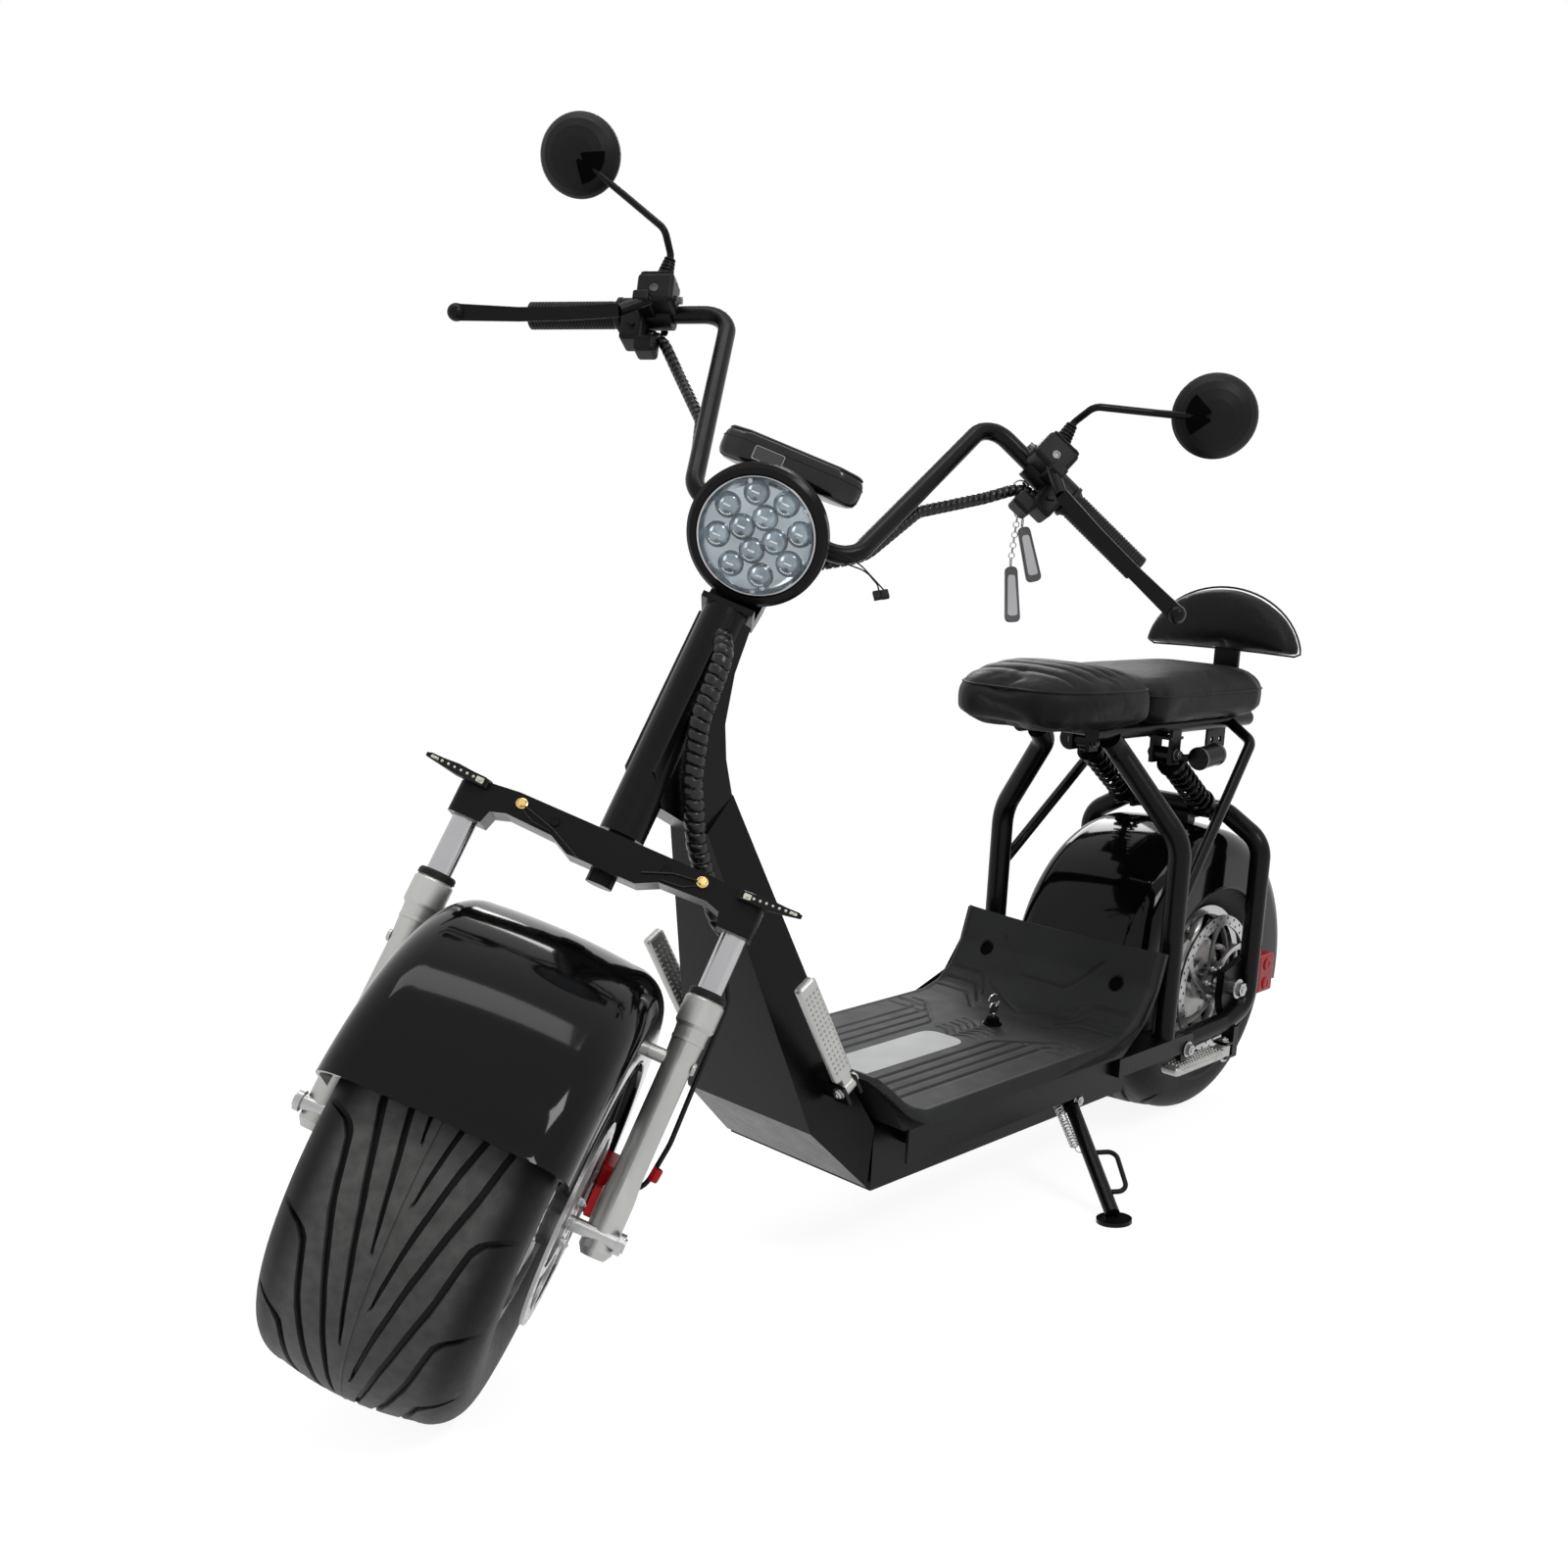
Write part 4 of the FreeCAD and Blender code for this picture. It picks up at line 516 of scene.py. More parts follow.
def tyre_rows(radius):
    """Half of the tyre's section as (half width, radius), from the crown to the bead."""
    rows = [0, 1.2, 3, 5, 6.2, 7.5, 9] + list(range(12, SHOULDER + 1, 3))
    rows = [(y, radius - CROWN_DROP * (y / SHOULDER) ** 2) for y in rows]
    rows += arc_through((SHOULDER, radius - 7), (97, radius - 22), (106, radius - 49), 14)
    rows += arc_through((106, radius - 49), (101, 136), (90, 114.5), 12)
    return rows + [(88, 108)]


def tread_row(n, y, r, radius):
    """Turn in degrees and depth of each point across one pitch, on the n-th row of the section."""
    slope = (table(GROOVE_TURN, y + 1.5) - table(GROOVE_TURN, y - 1.5)) / 3.0 if 8 < y < 99 else 0.3
    run = r * radians(slope)
    half = min(0.40 * PITCH, degrees(0.5 * table(GROOVE_WIDTH, y) * hypot(1, run) / r))
    grooved = n > 3 and r > radius - 60
    deep = GROOVE_DEPTH * smooth(y, 6.0, 9.0) * (1 - smooth(y, 84, 101)) if grooved else 0.0
    even = 1 - smooth(y, 1.0, 6.0) if n < 8 else 0.0
    row = []
    for k in range(STEPS):
        if k < 5:
            offset, depth = GROOVE_ACROSS[k] * half, deep if 0 < k < 4 else 0.0
        else:
            offset, depth = half + (PITCH - 2 * half) * (k - 4) / 6.0, 0.0
        row.append((offset + (PITCH / STEPS * (k - 2) - offset) * even, depth))
    return row


def tyre(end, radius, spot):
    """Road tyre with swept grooves. The tread attribute is 1 on the worn, paler lands and falls with the depth of
    the grooves, which paints shade into the grooves.
    """
    section = tyre_rows(radius)
    last = len(section) - 1
    verts, faces, wear_and_groove_shade = [], [], []
    for hand, start in ((1, TREAD_START), (-1, TREAD_START + PITCH / 2)):
        first = len(verts)
        for n, (y, r) in enumerate(section):
            (y0, r0), (y1, r1) = section[max(0, n - 1)], section[min(last, n + 1)]
            size = hypot(y1 - y0, r1 - r0)
            out_y, out_r = (r0 - r1) / size, (y1 - y0) / size
            land = (1 - smooth(y, 62, 88)) * (0.35 if n == 0 else 1.0)
            rib = WALL_RIB * (1 - smooth(abs(r - (radius - 62)), 0.5, 2.5)) if y > 90 else 0.0
            rib += CENTRE_RIB if n == 0 else 0.0
            row = tread_row(n, y, r, radius)
            for p in range(PITCHES):
                for offset, depth in row:
                    turn = radians(start + p * PITCH + table(GROOVE_TURN, y) + offset)
                    out = rib - depth
                    verts.append(about_axle(r + out_r * out, turn, hand * (y + out_y * out)))
                    # Real wear on the lands, faded towards the shoulders, times a fall with groove depth that
                    # paints shade into the grooves
                    wear_and_groove_shade.append(land * (1 - depth / GROOVE_DEPTH))
        for face in sheet_faces(len(section), PITCHES * STEPS, close_cols=True):
            face = tuple(first + i for i in face)
            faces.append(face if hand > 0 else face[::-1])
    obj = piece(end + "_tyre_tread", verts, faces, spot, "tyre", sharp=32, hides=[end + "_tyre"])
    tone = obj.data.attributes.new("tread", "FLOAT", "POINT")
    tone.data.foreach_set("value", wear_and_groove_shade)


# Fenders

FENDER_CORNER, FENDER_SKIRT, FENDER_WALL = 42.0, 44.0, 3.5
FENDER_CROWN = 4
FENDER_STEP = 2.5


def fender(end_name, radius, half, start, end, spot):
    """Fender with a wide crowned top, round shoulders, short skirts and a rolled edge all round."""
    low, flat = radius - FENDER_CORNER - FENDER_SKIRT, half - FENDER_CORNER

    def section(grow):
        rows = [(low, half - grow), (low + 12, half - grow)]
        reach = FENDER_CORNER - grow
        for k in range(13):
            a = pi / 2 * k / 12
            rows.append((radius - FENDER_CORNER + reach * sin(a), flat + reach * cos(a)))
        for k in range(1, 13):
            y = flat * (1 - k / 12)
            rows.append((radius - grow + FENDER_CROWN * (1 - (y / flat) ** 2), y))
        return rows

    outer, inner = section(0.0), section(FENDER_WALL)
    loop = outer + [(r, -y) for r, y in reversed(outer[:-1])] + [(r, -y) for r, y in inner] + inner[-2::-1]
    edge = len(loop) // 2
    steps = round((end - start) / FENDER_STEP)
    stops = [start + (end - start) * k / steps for k in range(steps + 1)]
    rows = []
    for stop in [start, start + 0.9] + stops[1:-1] + [end - 0.9, end]:
        lip = 1.0 if stop in (start, end) else 0.0
        lips = [lip if j < edge else 0.0 for j in range(len(loop))]
        rows.append([about_axle(r + lip, -radians(stop), y) for (r, y), lip in zip(loop, lips)])
    form = Form()
    form.skin(rows, close_cols=True, caps=True)
    for hand in (1, -1):
        swept(form, [about_axle(low + 2, -radians(t), hand * (half - 0.6)) for t in stops], 1.9, 8)
    built(end_name + "_fender_shell", form, spot, "gloss_black", sharp=50, hides=[end_name + "_fender"])


# Wheels

WHEEL_TIP, WHEEL_PLANE, BORE = 101, 84, 31
BLADES, BLADE_SWEEP = 10, 30
BLADE_SECTION = ((-1, -9), (-1, -1.5), (-0.7, 0.6), (0, 2.6), (0.7, 0.6), (1, -3), (1, -9))
MOTOR_HUB = 50
DISC_LOW, DISC_HIGH = 116.2, 119.8
DISC_BANDS = ((88.0, 96.0), (96.0, 104.0))
DISC_CELLS, DISC_HOLE = 30, 2.3
CELL_CORNERS = ((-1, -1), (-1, 0), (-1, 1), (0, 1), (1, 1), (1, 0), (1, -1), (0, -1))


def wheel_face(end, spot, hub, hand, side_name):
    """Curved blades from the hub to the barrel, with a turned hub cover between them."""
    form = Form()
    tip, plane = WHEEL_TIP, WHEEL_PLANE
    for k in range(BLADES):
        rows = []
        for j in range(11):
            t = j / 10
            r = hub - 2 + (tip - hub + 4) * t
            turn = radians(360 / BLADES * k) + hand * radians(BLADE_SWEEP * t ** 1.3)
            wide = 5.5 + 8.5 * sin(pi * (0.15 + 0.7 * t))
            high = plane + 7 * sin(pi * min(1.0, 0.2 + t))
            row = []
            for s, up in BLADE_SECTION:
                row.append(about_axle(r, turn + s * wide / r * 0.5, hand * (high + up)))
            rows.append(row)
        form.skin(rows, close_cols=True, caps=True)
    axes = frame_at((0, 0, 0), (0, hand, 0))
    rise = plane - 2
    cover = [(hub, rise - 14), (hub, rise), (hub - 2, rise + 3), (hub - 5, rise + 4.5)]
    cover += [(0.5 * (hub + BORE), rise + 5.5), (BORE + 2, rise + 6), (BORE, rise + 4), (BORE, rise - 8)]
    turned(form, cover, axes, 60)
    lip = [(tip - 2, plane - 6), (tip - 2, plane + 1), (tip, plane + 3), (tip + 3, plane + 3)]
    turned(form, lip, axes, 72)
    if hub > MOTOR_HUB:
        for k in range(8):
            seat = axes @ polar(hub - 11, radians(45 * k + 22.5), rise + 4.6)
            screw(form, frame_at(seat, (0, hand, 0)), 3.6, 2.6)
    built("%s_blades_%s" % (end, side_name), form, spot, "cast_silver", sharp=30)


def brake_disc(end, spot):
    """Perforated ring on six swept arms, bolted to the hub."""
    form = Form()
    low, high = DISC_LOW, DISC_HIGH
    half = pi / DISC_CELLS
    for band, (a, b) in enumerate(DISC_BANDS):
        r0 = (a + b) / 2
        for k in range(DISC_CELLS):
            middle = 2 * pi * (k + 0.5 * band) / DISC_CELLS
            edge, hole = [], []
            for dr, da in CELL_CORNERS:
                edge.append((r0 + dr * (b - a) / 2, middle + da * half))
                out = dr * DISC_HOLE * (0.72 if da else 1)
                hole.append((r0 + out, middle + da * DISC_HOLE * (0.72 if dr else 1) / r0))
            rings = [(edge, high), (hole, high), (hole, low), (edge, low)]
            form.skin([[about_axle(r, t, y) for r, t in ring] for ring, y in rings], close_cols=True)
    axes = frame_at((0, 0, 0), Y)
    for r in (DISC_BANDS[0][0], DISC_BANDS[1][1]):
        turned(form, [(r, low), (r, high)], axes, 60)
    for k in range(6):
        rows = []
        for j in range(9):
            t = j / 8
            r, turn = 29 + 61 * t, radians(60 * k + 30 * t)
            wide = (7.5 - 3.5 * sin(pi * t)) / r
            corners = ((-1, low), (-1, high), (1, high), (1, low))
            rows.append([about_axle(r, turn + s * wide, y) for s, y in corners])
        form.skin(rows, close_cols=True, caps=True)
        bolt(form, frame_at(about_axle(24, radians(60 * k + 8), high), Y), 4.0, 5.0)
    turned(form, [(11.5, low), (33, low), (33, high), (11.5, high), (11.5, low)], axes, 60)
    built(end + "_disc_plate", form, spot, "polished", mat="steel", sharp=30, hides=[end + "_disc"])


# Headlight

LAMP_TILT = RAKE + radians(6)
LAMP_RIM = 64.6
LAMP_EYES = [(45.5, 45 * k + 22.5) for k in range(8)] + [(19.5, 87.5 + 90 * k) for k in range(4)]
EYE_RADIUS, EYE_FLOOR, EYE_HEIGHT = 13.7, -9.2, 8.0


def headlight():
    """Reflector, twelve bulging eyes with their chips, and a domed glass in a bright rim."""
    out = Vector((cos(LAMP_TILT), 0, -sin(LAMP_TILT)))
    axes = frame_at((9, 0, 723), out, (sin(LAMP_TILT), 0, cos(LAMP_TILT)))
    plate = Form()
    turned(plate, [(0, -9.4), (52, -9.4), (58, -8.2), (62, -4.5), (64.4, 2.4), (64.7, 2.4)], axes, 72)
    built("headlight_reflector", plate, FORK, "lens_clear", mat="reflector", hides=["headlight_lens"])
    eyes, lights, trims = Form(), Form(), Form()
    quarter = [pi / 2 * j / 8 for j in range(9)]
    for reach, angle in LAMP_EYES:
        here = axes @ Matrix.Translation(polar(reach, radians(angle)))
        turned(eyes, [(EYE_RADIUS * cos(t), EYE_FLOOR + EYE_HEIGHT * sin(t)) for t in quarter], here, 36)
        turned(trims, [(14.6, -9.4), (14.4, -8.3), (14.0, -7.9), (13.5, -8.3), (13.4, -9.3)], here, 36)
        slab(lights, rectangle(0.8, 4.5, 0.7, 3), here @ Matrix.Translation((1.5, 0, 0)), -1.6, -0.4, 0.2)
        for j in range(6):
            spot = here @ Matrix.Translation(polar(9.2, radians(180 + 16 * (j - 2.5)), -4.2))
            turned(lights, [(1.0, 0), (1.1, 0.8), (0.7, 1.7), (0, 2.0)], spot, 10)
    built("headlight_eyes", eyes, FORK, "lens_clear", mat="lamp_pearl", sharp=60)
    built("headlight_chips", lights, FORK, "lens_clear", mat="lamp_white", sharp=40)
    rim = Form()
    swept(rim, ring_path(axes @ Matrix.Translation((0, 0, 3.6)), LAMP_RIM, 72), 1.3, 8)
    for angle in (28, 205, 318):
        screw(rim, axes @ Matrix.Translation(polar(58.5, radians(angle), -7.6)), 3.0, 2.6)
    rim.add(trims)
    built("headlight_trim", rim, FORK, "polished", sharp=40)
    glass = Form()
    dome = [(0, 6.0), (20, 5.7), (40, 4.9), (54, 3.9), (63, 2.6)]
    turned(glass, dome + [(r, h - 1.4) for r, h in reversed(dome)], axes, 72)
    built("headlight_glass", glass, FORK, "lens_clear", sharp=60)


# Handlebar controls

BAR_END, BAR_BEND = Vector((-223, 406, 966)), Vector((-172, 172, 1044))
BAR_WAY = (BAR_END - BAR_BEND).normalized()
GRIP_RIBS, RIB_PITCH = 26, 4.1
MIRROR_AT, MIRROR_BACK = (-141, 421, 1149), Vector((-cos(RAKE), 0, sin(RAKE)))
MIRROR_ROD = ((-143.9, 350.6, 1123.3), (-134, 385, 1130), (-122, 414, 1135.5))


def grips():
    profile = [(11.1, 6.2), (15.5, 6.2), (17.0, 5.0)]
    for k in range(GRIP_RIBS):
        h = 2 - RIB_PITCH * k
        profile += [(17.0, h), (17.0, h - 2.6), (16.1, h - 3.0), (16.1, h - 3.7)]
    profile += [(17.0, -106), (19.0, -109.5), (21.8, -110.5), (21.8, -114.8), (20.6, -116), (11.1, -116)]
    for hand, name in SIDES:
        form = Form()
        axes = frame_at((BAR_END.x, hand * BAR_END.y, BAR_END.z), (BAR_WAY.x, hand * BAR_WAY.y, BAR_WAY.z))
        turned(form, [(r, h - 0.2) for r, h in profile], axes, 48)
        turned(form, [(8.6, 5.8), (11.2, 5.8)], axes, 48)
        built("grip_" + name, form, FORK, "rubber", sharp=28, hides=["grips"])


def bar_axes(distance, hand):
    """Axes on the grip's line: X ahead, Y outwards along it, Z above it, in the fork frame."""
    forward = Vector(X) - BAR_WAY * BAR_WAY.x
    forward.normalize()
    up = forward.cross(BAR_WAY)
    here = Matrix.Translation(BAR_END - BAR_WAY * distance)
    return flipped(hand) @ here @ Matrix((forward, BAR_WAY, up)).transposed().to_4x4()


def controls():
    """Each reservoir's lid, screws and sight glass, and the bolts, buttons and hose fitting beside it."""
    for hand, name in SIDES:
        caps, screws, fitting = Form(), Form(), Form()
        perch, clamp, switch = (bar_axes(distance, hand) for distance in (166.0, 165.0, 134.0))
        lid = rounded_outline([(12.5, -20.5), (47.5, -20.5), (47.5, 20.5), (12.5, 20.5)], 5.0)
        slab(caps, lid, perch, 29.4, 32.4, 0.8)
        for x, y in ((18, -14), (42, 14)):
            screw(screws, perch @ Matrix.Translation((x, y, 32.2)), 3.2, 1.8)
        sight = [(5.0, 0), (5.4, 0.9), (4.8, 1.5), (3.4, 1.5), (3.0, 0.6), (0, 0.6)]
        turned(screws, sight, perch @ frame_at((49.6, 0, 8), X), 24)
        for z in (-14, 14):
            bolt(screws, clamp @ frame_at((-17.5, 0, z), (-1, 0, 0)), 3.6, 5.0)
        for y, z, r in ((-7, -32, 4.6), (7, -32, 4.6), (0, -18, 5.4)):
            button = [(r, 0), (r, 2.2), (r - 0.8, 3.0), (0, 3.2)]
            turned(caps, button, switch @ frame_at((-13.6, y, z), (-1, 0, 0)), 24)
        slab(caps, rectangle(5, 3, 1.5), switch @ frame_at((24.0, 0, -24), X), -0.6, 3.0, 0.5)
        bolt(screws, bar_axes(152.0, hand) @ frame_at((44, 0, 3.2), Z), 4.2, 5.5)
        banjo = [(5.5, 0), (6.0, 1.2), (6.0, 4.0), (4.6, 5.2), (4.6, 9), (0, 9.4)]
        turned(fitting, banjo, perch @ frame_at((30, -22.5, 2), (0, -1, 0)), 20)
        built("control_caps_" + name, caps, FORK, "plastic_black", sharp=30)
        built("control_screws_" + name, screws, FORK, "polished", mat="gunmetal", sharp=30)
        built("control_fitting_" + name, fitting, FORK, "cast_silver", mat="gunmetal", sharp=30)


def mirrors():
    """Silvered glass in each cup, the stem's rod and its socket on the cup's back, and the ribbed boot."""
    depths = [(10, 26), (21, 24), (33, 20), (40, 16.5)]
    reach = [8 + 4 * k for k in range(8)]
    socket_loop = [(r, table(depths, r) + (0.9 if r < 34 else 1.6)) for r in reach]
    socket_loop += [(r, table(depths, r) - 1) for r in reversed(reach)]
    turns = [radians(-42 + 7 * k) for k in range(13)]
    for hand, name in SIDES:
        glass, edge, boot, socket, rod = Form(), Form(), Form(), Form(), Form()
        centre = flipped(hand) @ Vector(MIRROR_AT)
        axes = frame_at(centre, MIRROR_BACK)
        turned(glass, [(46.5, 0.0), (46.5, 0.5), (46.0, 0.8), (0, 1.6)], axes, 64)
        bead = [(51, -1.5), (51.2, 0.4), (50.2, 1.4), (48.6, 1.5), (47.4, 0.9), (46.8, 0.2)]
        turned(edge, bead, axes, 64)
        root, top = Vector((-164.5, hand * 263.5, 1046)), Vector((-160.5, hand * 267.5, 1076))
        way = top - root
        for k in range(7):
            r = 10.6 - 4.2 * k / 6
            fold = [(r - 1.6, -2.4), (r + 0.9, -1.0), (r + 0.9, 0.8), (r - 1.6, 2.2)]
            turned(boot, fold, frame_at(root + way * (0.06 + 0.9 * k / 6), way), 28)
        front = frame_at(centre, -MIRROR_BACK, (0, -hand, -0.35))
        rows = [[front @ polar(r, a, h) for r, h in socket_loop] for a in turns]
        socket.skin(rows, close_cols=True, caps=True)
        swept(rod, [(x, hand * y, z) for x, y, z in MIRROR_ROD], 4.4, 14)
        built("mirror_socket_" + name, socket, FORK, "plastic_black", mat="black_and_hole_shade", sharp=40)
        built("mirror_rod_" + name, rod, FORK, "frame_black", sharp=50)
        built("mirror_glass_" + name, glass, FORK, "plastic_black", mat="mirror_glass", sharp=30)
        built("mirror_edge_" + name, edge, FORK, "plastic_black", sharp=40)
        built("mirror_boot_" + name, boot, FORK, "rubber", sharp=40)


def instrument():
    """Housing with a glass and bezel on its top, a seam round it and a blank label in front."""
    axes = Matrix.Translation((-12, 0, 800)) @ Matrix.Rotation(RAKE * 0.45, 4, "Y")
    outline = [(-24, -62), (-6, -84), (12, -80), (24, -58), (24, 58), (12, 80), (-6, 84), (-24, 62)]
    body, bezel, glass, seam, label, label_edge = Form(), Form(), Form(), Form(), Form(), Form()
    ring = rounded_outline(outline, 16, 8)
    levels = [(0.0, 0.4), (0.7, 0.4), (0.86, 1.2), (0.95, 4), (0.99, 9), (1.0, 14), (1.0, 23)]
    levels += [(0.985, 27.5), (0.96, 31), (0.92, 33.4), (0.86, 34), (0.0, 34)]
    rows = [[axes @ Vector((x * k, y * (1 - 0.75 * (1 - k)), z)) for x, y in ring] for k, z in levels]
    body.skin(rows, close_cols=True)
    slab(bezel, rounded_outline([(x * 0.92, y * 0.96) for x, y in outline], 12), axes, 32.6, 36.0, 1.2)
    slab(glass, rounded_outline([(x * 0.80, y * 0.91) for x, y in outline], 9), axes, 35.6, 36.6, 0.3)
    swept(seam, [axes @ Vector((x, y, 24)) for x, y in ring + ring[:1]], 0.6, 6)
    front = axes @ frame_at((24.0, -24, 15), X, Y)
    plate = rectangle(17, 7.5, 2)
    slab(label, plate, front, -0.2, 0.7, 0.25)
    swept(label_edge, [front @ Vector((x, y, 0.6)) for x, y in plate + plate[:1]], 0.45, 6)
    built("instrument_body", body, FORK, "dash_black", sharp=50, hides=["dash"])
    built("instrument_bezel", bezel, FORK, "dash_black", sharp=40)
    built("instrument_glass", glass, FORK, "dash_black", mat="screen", sharp=40)
    built("instrument_seam", seam, FORK, "dash_black", mat="rubber", sharp=40)
    built("instrument_label", label, FORK, "dash_black", mat="screen", sharp=40)
    built("instrument_label_edge", label_edge, FORK, "dash_black", mat="steel", sharp=40)


# Looms and hose: routes in the fork's frame, the neck loom's in the vehicle's

BAR_LOOM = [(-196, 276, 985), (-192, 240, 989), (-185, 205, 955), (-140, 140, 885), (-98, 106, 790),
            (-120, 30, 748), (-84, 24, 744)]
BRAKE_HOSE = [(-28, 100, 352), (-54, 122, 348), (-62, 172, 262), (-57, 176, 106), (-74, 168, 44),
              (-104, 127, 56)]
NECK_LOOM = [(963, 14, 742), (981, 38, 722), (1015, 41, 655), (1023, 41, 590), (1011, 40, 520),
             (973, 40, 430), (935, 38, 400)]
LAMP_WIRES = (
    ([(-30, 72, 750), (-28, 91, 757), (-30, 114, 753), (-33, 133, 745), (-35, 147, 739)], (-35, 149, 735)),
    ([(-30, 76, 745), (-29, 97, 748), (-31, 120, 750), (-35, 138, 742), (-35, 141, 737)], (-36, 142, 731)),
)


def wrapped(pitch, low, high):
    """Radius of a loom in spiral wrap, from the length so far and the angle."""

    def radius(length, angle):
        phase = (length / pitch + angle / (2 * pi)) % 1.0
        return low + (high - low) * smooth(min(phase, 1 - phase), 0.02, 0.14)

    return radius


def looms():
    """Wrapped looms beside the bar and into the neck, the front brake hose and clip, and lamp wires."""
    hides = ["steering_cables"]
    for hand, name in SIDES:
        form = Form()
        route = rounded([(x, hand * y, z) for x, y, z in BAR_LOOM], 34.0, 1.4)
        swept(form, route, wrapped(9.0, 5.0, 7.4), 14)
        built("bar_loom_" + name, form, FORK, "rubber", mat="loom_wrap", sharp=60, hides=hides)
    hose, clip, neck, wires = Form(), Form(), Form(), Form()
    swept(hose, rounded(BRAKE_HOSE, 40.0, 3.0), 2.8, 12)
    built("brake_hose", hose, FORK, "rubber", sharp=60, hides=hides)
    sleeve = [(2.9, -7), (4.8, -7), (5.4, -5), (5.4, 5), (4.8, 7), (2.9, 7)]
    turned(clip, sleeve, frame_at((-61, 175, 72), (9, 5, 44)), 24)
    built("hose_clip", clip, FORK, "caliper_red", sharp=40)
    swept(neck, rounded(NECK_LOOM, 60.0, 1.6), wrapped(12.0, 8.2, 11.4), 16)
    built("neck_loom", neck, CHASSIS, "rubber", mat="loom_wrap", sharp=60, hides=["frame_loom"])
    for route, plug in LAMP_WIRES:
        swept(wires, rounded(route, 30.0, 3.0), 0.9, 8)
        slab(wires, rectangle(3, 4.5, 1), frame_at(plug, (0.2, 0.7, -1)), -5, 5, 0.6)
    built("lamp_wires", wires, FORK, "rubber", sharp=40)


# Springs

DAMPER_Y = 69
DAMPER_TOP, DAMPER_LOW = (120, 562), (-16, 466)


def shock_coils():
    """Coils of the two dampers, their bolts, and the rings and valve on each reservoir."""
    coils, trim = Form(), Form()
    for hand in (1, -1):
        top, low = (Vector((x, hand * DAMPER_Y, z)) for x, z in (DAMPER_TOP, DAMPER_LOW))
        way = (low - top).normalized()
        swept(coils, coil(top + way * 34.0, low - way * 30.0, 16.0, 7.0), 2.9, 10)
        for p in (top, low):
            for out in (1, -1):
                bolt(trim, frame_at(p + Vector((0, out * 18.3, 0)), (0, out, 0)), 6.2, 7.0)
        can = frame_at((98, hand * 111, 558), (-52, 0, 4))
        for h in (2.0, 48.5):
            turned(trim, [(16.1, h - 2), (16.9, h - 1.4), (16.9, h + 1.4), (16.1, h + 2)], can, 36)
        turned(trim, [(4.0, 52), (4.0, 55), (3.2, 56), (0, 56)], can, 18)
    built("damper_coils", coils, CHASSIS, "gloss_black", sharp=60, hides=["shock_springs"])
    built("damper_trim", trim, CHASSIS, "frame_black", mat="gunmetal", sharp=30)


# Footboard mat: its top and under lines are (x, z) points from the front edge to the rear one

MAT_LINE = [(783, 232), (762, 206), (738, 195), (352, 195), (316, 204), (288, 224), (266, 258), (252, 304)]
MAT_UNDER = [(789, 228), (778, 196), (770, 176), (330, 176), (304, 196), (280, 216), (260, 254), (247, 303)]
MAT_FRONT = 789
MAT_HALF, MAT_CORNER, MAT_STEP = 170.0, 60.0, 2.3
EDGE_ROUND, EDGE_LINE = 14.0, 160
GROOVE_LEVEL = 2.0
RUN_START = 788.0
PLUG_RUN, PLUG_Y = 236, 112
LOCK = (404, 6)


def mat_grooves():
    """Grooves of the mat on the rider's left: (points of (run, y), width). Run counts along the mat."""
    lines = []
    for k, (y, rear) in enumerate(((52, 428), (72, 408), (92, 388))):
        front = 742 - 6 * k
        points = [(front, y + 14), (front - 26, y), (rear + 26, y), (rear, y + 24), (rear, 148 - 4 * k)]
        lines.append((points, 2.6))
    lines.append(([(742, 118), (722, 112), (420, 112), (404, 128), (404, 150)], 2.6))
    for k in range(5):
        run = 482 - 15 * k
        lines.append(([(run, -1), (run - 16, 16), (run - 16, 33)], 2.2))
    for k in range(3):
        run = 352 - 22 * k
        lines.append(([(run, 62 + 6 * k), (run - 34, 96), (run - 34, 150)], 2.2))
    lines.append(([(262, -2), (262, 40), (214, 84)], 3.0))
    lines.append(([(330, -2), (306, 40), (284, 78)], 2.4))
    return lines


def away_from(points, x, y):
    """Distance from arrays of places to a polyline."""
    best = None
    for (ax, ay), (bx, by) in zip(points, points[1:]):
        dx, dy = bx - ax, by - ay
        t = np.clip(((x - ax) * dx + (y - ay) * dy) / (dx * dx + dy * dy), 0, 1)
        d = np.hypot(x - ax - t * dx, y - ay - t * dy)
        best = d if best is None else np.minimum(best, d)
    return best


def mat_relief(x, y):
    """Depth of the grooves, the round recesses with their raised rims, and the line along the edge."""
    level = np.zeros_like(x)
    for points, wide in mat_grooves():
        path = [(p.x, p.y) for p in rounded([(a, b, 0) for a, b in points], 14.0, 3.0)]
        level = np.maximum(level, np.clip(1.35 - away_from(path, x, np.abs(y)) / wide, 0, 1))
    for hand in (1, -1):
        d = np.hypot(x - PLUG_RUN, y - hand * PLUG_Y)
        level = np.maximum(level, 2.6 * np.clip((10.5 - d) / 2.2, 0, 1))
        level -= 0.5 * np.exp(-((d - 13.5) / 2.2) ** 2)
    return level - np.clip(1 - np.abs(np.abs(y) - EDGE_LINE) / 6, 0, 1)


def mat_limit(front):
    """Half width of the mat at a distance behind its front edge, whose corners are round."""
    if front >= MAT_CORNER:
        return MAT_HALF
    return MAT_HALF - (MAT_CORNER - sqrt(MAT_CORNER ** 2 - (MAT_CORNER - front) ** 2))


